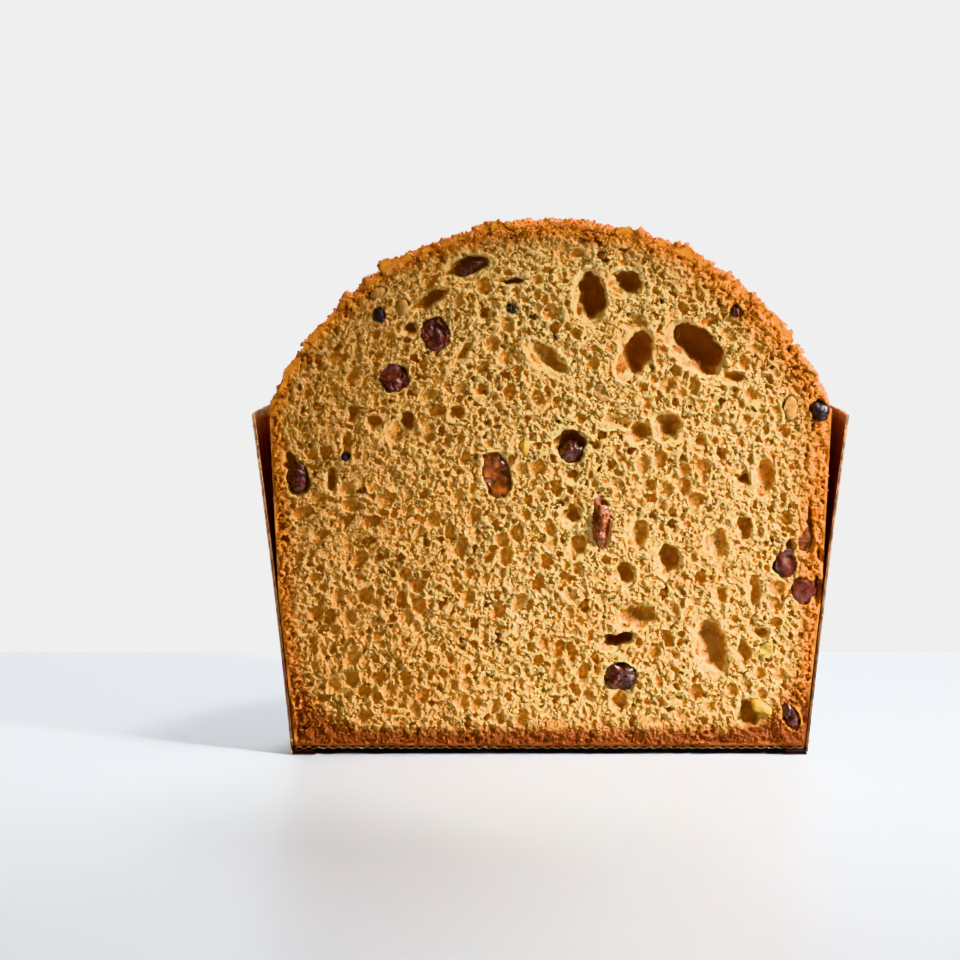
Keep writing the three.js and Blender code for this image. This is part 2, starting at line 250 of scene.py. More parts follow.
# %% Holes and fruit on the cut face
AIR_HOLES = [
    (12.6, 150.8, 10, 17.5, 4, 9),
    (24.2, 155, 10.5, 9, 0, 7),
    (27.1, 132.2, 10, 17, -25, 8),
    (26.5, 142.3, 9, 6.5, 0, 3),
    (47.1, 134.2, 22, 12, -40, 11),
    (59.4, 124.8, 7, 4, 0, 4),
    (37.7, 108.5, 9.5, 9, 0, 5),
    (28.7, 106.8, 8.5, 6.5, 0, 5),
    (21.3, 110.4, 10, 5, 0, 2.5),
    (-1, 130.6, 15.5, 6.5, -38, 4.5),
    (-39.7, 150.2, 13.5, 4.2, 28, 6),
    (-45.8, 140.7, 5.3, 4, 25, 6),
    (-21.6, 145.3, 3.5, 4.5, -35, 4),
    (-28.7, 133.2, 3.2, 9, -38, 3),
    (-22.6, 120.5, 4.5, 5, 0, 3),
    (-64.2, 125.4, 3, 6.5, -35, 2.5),
    (-64.5, 112.7, 3.6, 5.2, -20, 4),
    (-57.4, 109.8, 4.6, 4.6, 0, 4),
    (-47.1, 110.4, 5.5, 6.5, 0, 6),
    (-50.6, 106.8, 6, 8, -20, 3),
    (-66.5, 103.6, 3.2, 6.5, -10, 3.5),
    (-71.3, 91.5, 3.5, 8, 0, 5),
    (-30.6, 113, 5, 4.5, 30, 4),
    (7.1, 92.5, 5.3, 4, 0, 4),
    (13.9, 102.6, 4, 3.8, 0, 3.5),
    (6.8, 79.8, 6, 6.6, 0, 5),
    (8.4, 69.4, 6.5, 7.5, 0, 4),
    (28.4, 73, 6, 10, -10, 4),
    (38.1, 64.5, 9, 10, 0, 6),
    (24.2, 59.9, 6.8, 8, 0, 5),
    (28.1, 45.6, 13.5, 9, 0, 5),
    (22.3, 37.8, 11.5, 5, 20, 11),
    (54.2, 69.7, 7, 11, 0, 3.5),
    (63.2, 75.2, 5, 9.5, 15, 5),
    (66.8, 54.4, 3.2, 12, 0, 3.5),
    (55.5, 52.8, 4.5, 6.5, 0, 3),
    (52.6, 35.8, 10, 20, 15, 5.5),
    (63.5, 34.2, 4.5, 9, 12, 4),
    (68.7, 40.7, 6, 3.5, 0, 4),
    (69.7, 91.9, 6.5, 12, 0, 4),
    (62.6, 91.2, 4.5, 5, 0, 5),
    (55.2, 99.7, 4.2, 4.5, 0, 3.5),
    (48.1, 103.9, 4.5, 4.2, 0, 3),
    (52.9, 109.4, 5, 4, 0, 2.5),
    (64.8, 14, 7, 9, 0, 6),
]
CLEFTS = [
    (87.2, 55, 3.2, 9.5, 0, 6),
    (78.4, 69.4, 3.4, 4.6, 0, 5),
    (-84.6, 97.2, 4, 6, 20, 6),
    (-27, 160.9, 15, 6.4, 14, 6),
    (6.6, 103.2, 10.5, 9, 0, 8),
    (22.4, 17.6, 5, 6.6, 0, 4),
    (-12.5, 156.3, 7.5, 1.9, 6, 5),
    (84.8, 76.5, 2, 14, 0, 4),
    (88.2, 66.5, 2.6, 5, 20, 5),
]
fruit_nodes = [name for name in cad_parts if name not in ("loaf", "paper_case")]


def fruit_place(node):
    """A fruit node's centre, its half sizes and its tilt, in the loaf's frame."""
    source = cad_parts[node]
    corners = np.array([source.matrix_world @ v.co for v in source.data.vertices]) / MM
    corners[:, 1] -= CUT_Y / MM
    centre = (corners.min(axis=0) + corners.max(axis=0)) / 2.0
    out = corners - centre
    spread = np.cov(out[:, [0, 2]].T)
    tilt = 0.5 * math.atan2(2.0 * spread[0, 1], spread[0, 0] - spread[1, 1])
    along = np.abs(out[:, 0] * math.cos(tilt) + out[:, 2] * math.sin(tilt)).max()
    across = np.abs(out[:, 2] * math.cos(tilt) - out[:, 0] * math.sin(tilt)).max()
    return centre, np.array([along, np.abs(out[:, 1]).max(), across]), tilt


print(len(AIR_HOLES), "holes and", len(fruit_nodes), "pieces of fruit and nut on the cut face")

# %% [markdown]
# The crumb is a foam, and the cut face shows it opened. A block of small cubes, from the cut
# to a few millimetres behind it, holds for each cube how far it is from the nearest cell of
# air and from the next one. Where the two are nearly equal a thin wall of dough stands.
# Cells are stamped from the largest down, each into room that the others left, as bubbles
# share the room in rising dough. They are drawn out the way the dough rose: along the
# crust near the dome, upright in the middle and up to the right on the left.

# %% Block of cubes
STEP = 0.26
FRONT = -1.3
BACK = 5.4
FAR = 3.0  # the distance held by cubes that no cell is near
SWELL = 1.1  # how far a cell swells past its stamp, until it meets a neighbour
HALF_WIDTH = 93.6
LOWEST = 2.4
HIGHEST = 178.0
rng = np.random.default_rng(31)
axis_x = np.arange(-HALF_WIDTH, HALF_WIDTH + STEP, STEP)
axis_d = np.arange(FRONT, BACK + STEP, STEP)
axis_z = np.arange(LOWEST, HIGHEST, STEP)
block_shape = (len(axis_x), len(axis_d), len(axis_z))
block_origin = np.array([axis_x[0], axis_d[0], axis_z[0]])
face_x, face_z = np.meshgrid(axis_x, axis_z, indexing="ij")
nearest_cell = np.full(block_shape, FAR, dtype=np.float32)
next_cell = np.full(block_shape, 2.0 * FAR, dtype=np.float32)
hole_floor = np.full(face_x.shape, 2.0 * FRONT)


def near_cell(centre, reach):
    """The part of the block round a place, and what lies in it to each side of the place."""
    low = np.maximum(((centre - reach - block_origin) / STEP).astype(int), 0)
    high = np.minimum(((centre + reach - block_origin) / STEP).astype(int) + 2, block_shape)
    part = tuple(slice(a, max(a, b)) for a, b in zip(low, high))
    dx = (axis_x[part[0]] - centre[0])[:, None, None]
    dd = (axis_d[part[1]] - centre[1])[None, :, None]
    dz = (axis_z[part[2]] - centre[2])[None, None, :]
    return part, dx, dd, dz


def stamp(centre, halves, angle, reach):
    """Writes a cell's signed distance into the block, as far as the reach from its middle."""
    part, dx, dd, dz = near_cell(centre, reach)
    cos, sin = math.cos(angle), math.sin(angle)
    along = (dx * cos + dz * sin) / halves[0]
    across = (dz * cos - dx * sin) / halves[2]
    distance = (np.sqrt(along**2 + across**2 + (dd / halves[1]) ** 2) - 1.0) * min(halves)
    np.minimum(next_cell[part], np.maximum(nearest_cell[part], distance), out=next_cell[part])
    np.minimum(nearest_cell[part], distance, out=nearest_cell[part])


def carve(centre, halves, angle):
    """Opens one lobe of a hole. Lobes run together, with no wall between them."""
    part, dx, dd, dz = near_cell(centre, halves.max() + FAR)
    cos, sin = math.cos(angle), math.sin(angle)
    flat = ((dx * cos + dz * sin) / halves[0]) ** 2 + ((dz * cos - dx * sin) / halves[2]) ** 2
    distance = (np.sqrt(flat + (dd / halves[1]) ** 2) - 1.0) * min(halves)
    np.minimum(nearest_cell[part], distance, out=nearest_cell[part])
    columns = (part[0], part[2])
    far_wall = centre[1] + halves[1] * np.sqrt(np.maximum(1.0 - flat[:, 0, :], 0.0))
    opened = (flat[:, 0, :] < 1.0) & (2.0 * centre[1] - far_wall < np.maximum(hole_floor[columns], 0.2))
    hole_floor[columns] = np.where(opened, np.maximum(hole_floor[columns], far_wall), hole_floor[columns])


print("block of", block_shape, "cubes")

# %% [markdown]
# The fruit's pockets and the listed holes go in first. A hole is a cup whose middle lies
# behind the cut, with a few lobes at its edge, so that no two look alike.

# %% Pockets and large holes
POCKET_SHARE = 0.9  # of the fruit, so that crumb clings to its edge


def carve_hole(x, z, width, height, tilt, depth):
    angle = math.radians(tilt)
    middle = 0.3 * depth
    halves = np.array([width / 2, 0.7 * depth, height / 2])
    carve(np.array([x, 0.0, z]), halves * (1.08, 0.55, 1.08), angle)
    aside = 0.2 * halves[[0, 2]].min()
    carve(np.array([x + aside, middle, z + 0.8 * aside]), halves * 0.86, angle)
    for _ in range(6):
        turn = rng.uniform(0, 2 * math.pi)
        out = rng.uniform(0.5, 0.75)
        along, across = out * halves[0] * math.cos(turn), out * halves[2] * math.sin(turn)
        place = np.array([
            x + along * math.cos(angle) - across * math.sin(angle),
            middle * rng.uniform(0.2, 1.2),
            z + along * math.sin(angle) + across * math.cos(angle),
        ])
        lobe = halves * rng.uniform(0.25, 0.4)
        carve(place, lobe, angle + rng.uniform(-0.5, 0.5))


for hole in AIR_HOLES + CLEFTS:
    carve_hole(*hole)
for node in fruit_nodes:
    centre, half, tilt = fruit_place(node)
    mouth = np.array([half[0] * POCKET_SHARE, centre[1] + half[1] + 0.2, half[2] * POCKET_SHARE])
    carve(np.array([centre[0], 0.0, centre[2]]), mouth, tilt)
print("holes reach", hole_floor.max().round(1), "mm behind the cut")

# %% [markdown]
# The small cells follow. Their wished sizes are drawn at random, finer near the crust, and
# sorted, so the larger find room first.

# %% Small cells
CELL_TRIES = 500000
CELL_MIDDLE = 0.33  # half the width of a usual cell before it swells
CELL_SPREAD = 0.6
CELL_SMALLEST = 0.2
CELL_LARGEST = 2.6
CELL_WALL = 0.18
DEEPEST_CELL = 4.6


def depth_under_crust(x, z):
    """On the cut face, how far a place lies inside the loaf's outline."""
    from_dome = DOME_RADIUS - np.hypot(x, z - DOME_HEIGHT)
    from_side = np.where(z > SHOULDER, from_dome, side_radius(z) - np.abs(x))
    return np.minimum(from_side, z - LOAF_BOTTOM)


def dough_flow(x, z):
    """Which way the dough stretched: an angle in radians up from +x, and how strongly."""
    along_dome = -np.arctan2(x, z - DOME_HEIGHT)
    upright = math.pi / 2.0 + 0.006 * x
    near_dome = rise(24.0, 8.0, DOME_RADIUS - np.hypot(x, z - DOME_HEIGHT)) * rise(92.0, 112.0, z)
    leftward = rise(-10.0, -40.0, x) * rise(50.0, 80.0, z)
    angle = upright - 0.75 * leftward
    angle = np.where(near_dome > 0.5, along_dome, angle)
    strength = 1.2 + 0.5 * near_dome + 0.3 * rise(70.0, 40.0, z) * rise(60.0, 30.0, np.abs(x))
    return angle, strength + 0.25 * leftward


def draw_cells():
    """Places, wished sizes, angles and stretches of the cells, largest first."""
    x = rng.uniform(-92.0, 92.0, CELL_TRIES)
    d = rng.random(CELL_TRIES) ** 1.3 * (DEEPEST_CELL + 1.0) - 1.0
    z = rng.uniform(4.0, 175.0, CELL_TRIES)
    under = depth_under_crust(x, z)
    size = CELL_MIDDLE * np.exp(CELL_SPREAD * rng.standard_normal(CELL_TRIES))
    size *= 0.42 + 0.58 * rise(1.0, 15.0, under)
    size *= np.exp(0.9 * lumps(np.column_stack([x, 0.0 * x, z]), 12.0, 61))
    size = np.clip(size, CELL_SMALLEST, CELL_LARGEST)
    angle, strength = dough_flow(x, z)
    angle = angle + 0.35 * rng.standard_normal(CELL_TRIES)
    strength = strength * np.exp(0.16 * rng.standard_normal(CELL_TRIES))
    kept = (under > 0.5) & (rng.random(CELL_TRIES) < 0.3 + 0.7 * rise(2.0, 6.0, under))
    order = np.argsort(-size)
    order = order[kept[order]]
    return np.column_stack([x, d, z])[order], size[order], angle[order], strength[order]


placed = 0
for place, wished, angle, strength in zip(*draw_cells()):
    cube = ((place - block_origin) / STEP + 0.5).astype(int)
    room = nearest_cell[tuple(cube)] - CELL_WALL
    size = min(wished, room)
    if size < CELL_SMALLEST:
        continue
    stretch = math.sqrt(strength)
    halves = np.array([size * stretch, size, size / stretch])
    stamp(place, halves, angle, halves[0] + 1.4 * SWELL)
    placed += 1
print(placed, "cells stamped", round(time.time() - started, 1), "s")

# %% [markdown]
# The knife opened the cells that it met and tore the walls between them. So the face is found
# by looking into the block from in front, column by column: the eye stops at the first dough
# past a torn, wavy cut. Large holes have smooth walls, in which cells show only as dimples.
# One sheet of points then carries all that shows, at a quarter of a millimetre.

# %% Noise and means over the face
def soft_noise(shape, step, seed):
    """Noise over a block or a face, blended between random values a few steps apart."""
    draw = np.random.default_rng(seed)
    values = draw.uniform(-1.0, 1.0, [int(n / step) + 3 for n in shape]).astype(np.float32)
    for axis, n in enumerate(shape):
        place = np.arange(n) / step
        low = place.astype(int)
        t = smooth(place - low).astype(np.float32)
        t = t.reshape([-1 if a == axis else 1 for a in range(len(shape))])
        values = np.take(values, low, axis=axis) * (1 - t) + np.take(values, low + 1, axis=axis) * t
    return values


def box_mean(values, radius):
    """The mean of each value's surroundings, in a box."""
    for axis in range(values.ndim):
        widths = [(radius + 1, radius) if a == axis else (0, 0) for a in range(values.ndim)]
        total = np.cumsum(np.pad(values, widths, mode="edge"), axis=axis, dtype=np.float64)
        count = values.shape[axis]
        ahead = np.take(total, np.arange(2 * radius + 1, 2 * radius + 1 + count), axis=axis)
        behind = np.take(total, np.arange(0, count), axis=axis)
        values = (ahead - behind) / (2 * radius + 1)
    return values


def outline_excess(x, z):
    """How far places on the cut face are outside the loaf, negative within it."""
    dome = np.hypot(x, z - DOME_HEIGHT) - DOME_RADIUS
    near = (np.abs(dome) < 5.5) & (z > SHOULDER - 1.0)
    points = np.column_stack([x[near], np.zeros(near.sum()), z[near]])
    dome[near] -= on_map(map_height, points)
    side = np.abs(x) - side_radius(z)
    return np.where(z > SHOULDER, dome, np.maximum(side, LOAF_BOTTOM - z))


def wandering(field, reach, size, seed):
    """A field over the face or the block with its columns pushed about, which makes rounds ragged."""
    shape = face_x.shape
    push_x = reach * (soft_noise(shape, size, seed) + 0.6 * soft_noise(shape, size / 2, seed + 1))
    push_z = reach * (soft_noise(shape, size, seed + 2) + 0.6 * soft_noise(shape, size / 2, seed + 3))
    index_x, index_z = np.indices(shape)
    index_x = np.clip(np.rint(index_x + push_x).astype(int), 0, len(axis_x) - 1)
    index_z = np.clip(np.rint(index_z + push_z).astype(int), 0, len(axis_z) - 1)
    return field[index_x, :, index_z] if field.ndim == 3 else field[index_x, index_z]


print("the face has", face_x.shape, "columns")

# %% [markdown]
# Now the block is read. First comes a single value for air or dough in each cube, then where
# each column starts, then the first dough past that start.

# %% What the knife opened
# Above 0 is air: inside a cell's swelling and clear of the wall to the next cell.
under_face = depth_under_crust(face_x, face_z)
swell_here = (SWELL * (0.2 + 0.8 * rise(3.0, 9.0, under_face))).astype(np.float32)[:, None, :]
wall_here = CELL_WALL * (1.0 + 0.8 * soft_noise(block_shape, 5.0, 75))
cell_air = np.minimum((next_cell - nearest_cell - wall_here) / 2.0, swell_here - nearest_cell)
cell_air += 0.1 * soft_noise(block_shape, 1.7, 71)
cell_air = wandering(cell_air, 1.5, 4.0, 76)

# The cut is torn and wavy, and a large hole starts at its own far wall.
open_floor = wandering(hole_floor, 3.0, 12.0, 84)
torn = 0.5 * soft_noise(face_x.shape, 22, 72) + 0.5 * soft_noise(face_x.shape, 7, 73)
torn += 0.3 * soft_noise(face_x.shape, 3, 74)
edge_fade = rise(0.1, 1.2, under_face)
start = np.maximum(torn * edge_fade + 0.3, open_floor)

# In each column the first dough past the start, placed between two cubes.
is_dough = (cell_air < 0.0) & (axis_d > start[:, :, None])
is_dough[:, :, -1] = True
first = np.maximum(is_dough.argmax(axis=2), 1)[:, :, None]
before = np.maximum(np.take_along_axis(cell_air, first - 1, axis=2), 0.0)
after = np.minimum(np.take_along_axis(cell_air, first, axis=2), -0.01)
reached = (axis_d[first - 1] + STEP * before / (before - after))[:, :, 0]

# Narrow pits are kept shallow, and cells in the wall of a large hole are dimples.
in_hole = open_floor > torn * edge_fade + 0.3
past_start = np.maximum(reached - start, 0.0) * np.where(in_hole, 0.3, 1.0)
narrow_limit = 0.2 + 1.15 * box_mean(past_start, 3)
past_start = np.where(in_hole, past_start, np.minimum(past_start, narrow_limit))
grit = 0.1 + 0.3 * rise(5.0, 2.0, under_face)
face_depth = start + 2.4 * np.tanh(past_start / 2.6) * edge_fade
sandy = soft_noise(face_x.shape, 1.3, 80) + 0.8 * soft_noise(face_x.shape, 3.1, 81)
face_depth += grit * sandy * edge_fade
print("face depth", np.percentile(face_depth, [1, 25, 50, 75, 99]).round(2),
      round(time.time() - started, 1), "s")

# %% [markdown]
# A sheet of this many points is built from whole arrays: Blender takes all the places in one
# call and all the faces in another, which is far quicker than one point after another.
# Normals, and named values for the materials, go along with the points.

# %% Meshes from arrays
def mesh_from_arrays(name, points_mm, faces, normals=None, attributes=None):
    """A mesh object from numpy arrays, with its point attributes and smooth shading."""
    mesh = bpy.data.meshes.new(name)
    sides = faces.shape[1]
    mesh.vertices.add(len(points_mm))
    mesh.vertices.foreach_set("co", metres(points_mm).astype(np.float32).ravel())
    mesh.loops.add(faces.size)
    mesh.loops.foreach_set("vertex_index", faces.astype(np.int32).ravel())
    mesh.polygons.add(len(faces))
    mesh.polygons.foreach_set("loop_start", np.arange(0, faces.size, sides, dtype=np.int32))
    mesh.update(calc_edges=True)
    mesh.shade_smooth()
    if normals is not None:
        mesh.normals_split_custom_set_from_vertices(normals.tolist())
    for key, values in (attributes or {}).items():
        layer = mesh.attributes.new(key, "FLOAT", "POINT")
        layer.data.foreach_set("value", np.asarray(values, dtype=np.float32))
    piece = bpy.data.objects.new(name, mesh)
    bpy.context.scene.collection.objects.link(piece)
    return piece


def vertex_normals(points, faces):
    """Each point's normal, from the faces round it."""
    across = points[faces[:, 2]] - points[faces[:, 0]]
    along = points[faces[:, 3 % faces.shape[1]]] - points[faces[:, 1]]
    face_normal = np.cross(across, along)
    total = np.zeros_like(points)
    for corner in range(faces.shape[1]):
        for axis in range(3):
            total[:, axis] += np.bincount(faces[:, corner], face_normal[:, axis], len(points))
    return total / np.maximum(np.linalg.norm(total, axis=1, keepdims=True), 1e-12)


def grid_faces(rows, columns):
    """Quads over a grid of points, counter-clockwise when rows run right and columns up."""
    index = np.arange(rows * columns).reshape(rows, columns)
    a, b, c, d = index[:-1, :-1], index[1:, :-1], index[1:, 1:], index[:-1, 1:]
    return np.stack([a, b, c, d], axis=-1).reshape(-1, 4)


print("a grid of 3 by 4 points has", len(grid_faces(3, 4)), "quads")

# %% [markdown]
# Each point of the face also learns two things for its colour: whether it stands above what
# surrounds it, which tells a torn ridge from the bottom of a cell, and how far it lies under
# the crust, where the crumb browns. The sheet is cut into upright strips, because a mesh
# past two hundred thousand triangles would be thinned when it is stored. The normals are
# worked out before that, so no seam shows.

# %% Cut face
MOST_QUADS = 95000


def to_outline(x, z, excess):
    """Moves places that are outside the loaf's outline back onto it."""
    from_centre = np.hypot(x, z - DOME_HEIGHT)
    shrink = np.where(z > SHOULDER, (from_centre - excess) / from_centre, 1.0)
    new_x = np.where(z > SHOULDER, x * shrink, np.clip(x, -side_radius(z), side_radius(z)))
    new_z = np.where(z > SHOULDER, DOME_HEIGHT + (z - DOME_HEIGHT) * shrink, np.maximum(z, LOAF_BOTTOM))
    return np.where(excess > 0, new_x, x), np.where(excess > 0, new_z, z)


excess = outline_excess(face_x, face_z)
faces = grid_faces(*face_x.shape)
faces = faces[(excess.ravel()[faces] < 0.0).any(axis=1)]
on_x, on_z = to_outline(face_x, face_z, excess)
points = np.column_stack([on_x.ravel(), np.where(excess > 0, 0.3, face_depth).ravel(), on_z.ravel()])
stands_out = (box_mean(face_depth, 5) - face_depth).ravel()
sunk = np.clip(face_depth - box_mean(torn, 3), 0.0, 6.0).ravel()
to_corner = np.hypot(np.abs(on_x) - side_radius(LOAF_BOTTOM), on_z - LOAF_BOTTOM)
thicker_crust = 1.0 + 0.7 * rise(12.0, 3.0, on_z) + 2.2 * rise(26.0, 6.0, to_corner)
thicker_crust += 0.5 * rise(20.0, 75.0, on_x) * rise(40.0, 60.0, on_z)
thicker_crust -= 0.25 * rise(-10.0, -50.0, on_x) * rise(SHOULDER - 10.0, SHOULDER + 15.0, on_z)
under_crust = (-excess / thicker_crust).ravel()
plate_here = on_map(map_plate, np.column_stack([points[:, 0], np.zeros(len(points)), points[:, 2]]))
plate_here = plate_here * rise(3.0, 45.0, points[:, 2]) - 0.5 * rise(22.0, 5.0, points[:, 2])
normals = vertex_normals(points, faces)
strip_count = math.ceil(len(faces) / MOST_QUADS)
edges = np.quantile(points[faces[:, 0], 0], np.linspace(0, 1, strip_count + 1))
edges[-1] += 1.0
crumb_pieces = []
for i in range(strip_count):
    left = points[faces[:, 0], 0]
    used, renumbered = np.unique(faces[(left >= edges[i]) & (left < edges[i + 1])], return_inverse=True)
    attributes = {"stands_out": stands_out[used], "sunk": sunk[used],
                  "under_crust": under_crust[used], "plate": plate_here[used]}
    crumb_pieces.append(mesh_from_arrays(
        f"cut_face_{i + 1}", points[used], renumbered.reshape(-1, 4), normals[used], attributes))
print(len(faces), "quads in", strip_count, "strips; normals", normals[:, 1].mean().round(2),
      "stands out", np.percentile(stands_out, [5, 50, 95]).round(2), round(time.time() - started, 1), "s")

# %% [markdown]
# Behind the cut the dome's crust is one skin: arches of points, one behind the other, each
# lifted by the map. Its front edge turns in behind the sheet of the cut face, so the edge
# is closed.

# %% Crust behind the cut
SKIN_STEP = 0.52
EDGE_DEPTH = 0.3
TURN_IN = 1.2
WIDEST = 91.0  # the loaf's radius at the shoulder, to the millimetre
ARCH_TURN = 1.19  # radians from the top of the dome down to the shoulder


def dome_skin():
    """The dome's crust, from the cut face to the back of the shoulder."""
    columns = int(2.0 * WIDEST * ARCH_TURN / SKIN_STEP)
    steep = math.acos((SHOULDER - DOME_HEIGHT) / DOME_RADIUS)
    lean = np.arange(math.asin(EDGE_DEPTH / DOME_RADIUS), steep, SKIN_STEP / DOME_RADIUS)
    lean = np.append(lean, steep - 1e-5)
    half = np.arccos(np.clip((SHOULDER - DOME_HEIGHT) / (DOME_RADIUS * np.cos(lean)), -1.0, 1.0))
    turn = np.linspace(-1.0, 1.0, columns)[None, :] * half[:, None]
    out = np.stack([
        np.cos(lean)[:, None] * np.sin(turn),
        np.sin(lean)[:, None] * np.ones(columns)[None, :],
        np.cos(lean)[:, None] * np.cos(turn),
    ], axis=-1).reshape(-1, 3)
    points = out * DOME_RADIUS + np.array([0.0, 0.0, DOME_HEIGHT])
    height = on_map(map_height, points)
    lifted = points + out * height[:, None]
    lifted[:columns, 1] = EDGE_DEPTH
    hem = lifted[:columns] - out[:columns] * TURN_IN + np.array([0.0, TURN_IN, 0.0])
    plate = on_map(map_plate, points)
    lifted = np.concatenate([hem, lifted])
    plate = np.concatenate([plate[:columns], plate])
    faces = grid_faces(len(lean) + 1, columns)[:, ::-1]
    zeros = np.zeros(len(lifted))
    attributes = {"stands_out": 0.5 * (plate - 0.5), "sunk": zeros, "under_crust": zeros, "plate": plate}
    return mesh_from_arrays("crust_dome", lifted, faces, vertex_normals(lifted, faces), attributes)


crust_pieces = [dome_skin()]
print(crust_pieces[0].name, len(crust_pieces[0].data.polygons), "quads")

# %% [markdown]
# The side and the bottom took their form from the case, so they are only a little rough.
# Rings of points run down the side, round the foot and in to the middle, and each ring
# also turns in behind the cut at both ends.

# %% Side and bottom
def side_skin():
    """The side and the bottom, which the paper case moulded."""
    columns = int(math.pi * WIDEST / SKIN_STEP)
    heights = np.linspace(SHOULDER, LOAF_BOTTOM + FOOT_ROUNDING, 80)
    rows = [(float(side_radius(z)), z) for z in heights]
    foot = float(side_radius(LOAF_BOTTOM + FOOT_ROUNDING)) - FOOT_ROUNDING
    rows += [(foot + FOOT_ROUNDING * math.cos(t), LOAF_BOTTOM + FOOT_ROUNDING * (1 - math.sin(t)))
             for t in np.linspace(0.3, math.pi / 2, 5)]
    rows += [(r, LOAF_BOTTOM) for r in np.linspace(foot - 2.0, 0.6, 34)]
    turn = np.linspace(0.0, math.pi, columns)
    points = []
    for radius, z in rows:
        ring = np.column_stack([radius * np.cos(turn), radius * np.sin(turn), np.full(columns, z)])
        ring[:, 1] = np.maximum(ring[:, 1], EDGE_DEPTH)
        hem = TURN_IN * np.array([[-1.0, 1.0, 0.0], [1.0, 1.0, 0.0]]) + np.array([0.0, 0.0, 0.3])
        points += [ring[:1] + hem[:1], ring, ring[-1:] + hem[1:]]
    points = np.concatenate(points)
    rough = 0.3 * lumps(points, 3.0, 51) + 0.25 * lumps(points, 1.3, 52) - 0.2
    away = points[:, :2] / np.linalg.norm(points[:, :2], axis=1, keepdims=True)
    lift = rough * rise(4.0, 8.0, points[:, 2]) * rise(EDGE_DEPTH, 4.0, points[:, 1])
    points[:, :2] += away * lift[:, None]
    faces = grid_faces(len(rows), columns + 2)
    zeros = np.zeros(len(points))
    attributes = {"stands_out": rough, "sunk": zeros, "under_crust": zeros, "plate": 0.6 + 0.4 * rough}
    return mesh_from_arrays("crust_side", points, faces, vertex_normals(points, faces), attributes)


crust_pieces.append(side_skin())
for piece in crust_pieces:
    middle_quad = piece.data.polygons[len(piece.data.polygons) // 2]
    print(piece.name, len(piece.data.polygons), "quads", middle_quad.normal)

# %% [markdown]
# Materials follow. One effect returns in all of them: a mottle of soft speckles, for a loaf, a
# raisin and a sheet of paper are none of them one even colour. It is a node group with
# its own inputs, placed in each material with that material's sizes.

# %% Helpers for materials
def new_material(name):
    material = bpy.data.materials.new(name)
    material.use_nodes = True
    tree = material.node_tree
    shader = tree.nodes["Principled BSDF"]
    return material, tree, shader


def add_node(tree, kind, settings=None, inputs=None):
    """A node with its settings and its inputs, each a plain value or a socket to link."""
    node = tree.nodes.new(kind)
    for key, value in (settings or {}).items():
        setattr(node, key, value)
    for key, value in (inputs or {}).items():
        if isinstance(value, bpy.types.NodeSocket):
            tree.links.new(value, node.inputs[key])
        else:
            node.inputs[key].default_value = value
    return node


def maths(tree, operation, first, second=0.5):
    return add_node(tree, "ShaderNodeMath", {"operation": operation}, {0: first, 1: second}).outputs[0]


def mottle_group():
    """Speckles of one size over the object, as a mask from 0 to 1."""
    group = bpy.data.node_groups.new("mottle", "ShaderNodeTree")
    for name, value in (("Size", 0.005), ("Detail", 2.0), ("Contrast", 1.0)):
        socket = group.interface.new_socket(name, in_out="INPUT", socket_type="NodeSocketFloat")
        socket.default_value = value
    group.interface.new_socket("Mask", in_out="OUTPUT", socket_type="NodeSocketFloat")
    given = group.nodes.new("NodeGroupInput").outputs
    place = add_node(group, "ShaderNodeTexCoord").outputs["Object"]
    scale = maths(group, "DIVIDE", 1.0, given["Size"])
    noise = add_node(group, "ShaderNodeTexNoise", None, {
        "Vector": place, "Scale": scale, "Detail": given["Detail"], "Roughness": 0.55})
    centred = maths(group, "SUBTRACT", noise.outputs["Fac"], 0.5)
    centred = maths(group, "MULTIPLY", centred, given["Contrast"])
    limited = add_node(group, "ShaderNodeClamp", None, {"Value": maths(group, "ADD", centred, 0.5)})
    result = group.nodes.new("NodeGroupOutput")
    group.links.new(limited.outputs["Result"], result.inputs["Mask"])
    return group


MOTTLE = mottle_group()


def speckle(tree, size_mm, contrast=1.0, detail=2.0):
    node = add_node(tree, "ShaderNodeGroup", {"node_tree": MOTTLE}, {
        "Size": size_mm * MM, "Detail": detail, "Contrast": contrast})
    return node.outputs["Mask"]


def point_value(tree, key):
    return add_node(tree, "ShaderNodeAttribute", {"attribute_name": key}).outputs["Fac"]


def soft_range(tree, value, low, high, out_low=0.0, out_high=1.0):
    node = add_node(tree, "ShaderNodeMapRange", {"interpolation_type": "SMOOTHSTEP"}, {
        "Value": value, "From Min": low, "From Max": high, "To Min": out_low, "To Max": out_high})
    return node.outputs["Result"]


def blend_colours(tree, amount, first, second):
    node = add_node(tree, "ShaderNodeMix", {"data_type": "RGBA"}, {0: amount, 6: first, 7: second})
    return node.outputs[2]


def bumped(tree, shader, height, depth_mm, strength=1.0):
    """Feeds a fine relief to the shader's normal."""
    bump = add_node(tree, "ShaderNodeBump", None, {
        "Strength": strength, "Distance": depth_mm * MM, "Height": height})
    tree.links.new(bump.outputs["Normal"], shader.inputs["Normal"])


def linear(red, green, blue):
    """A colour given as it looks on screen, 0 to 255, in the renderer's linear light."""
    def one(v):
        v /= 255.0
        return v / 12.92 if v <= 0.04045 else ((v + 0.055) / 1.055) ** 2.4
    return (one(red), one(green), one(blue), 1.0)


print("mottle group with inputs", [s.name for s in MOTTLE.interface.items_tree])
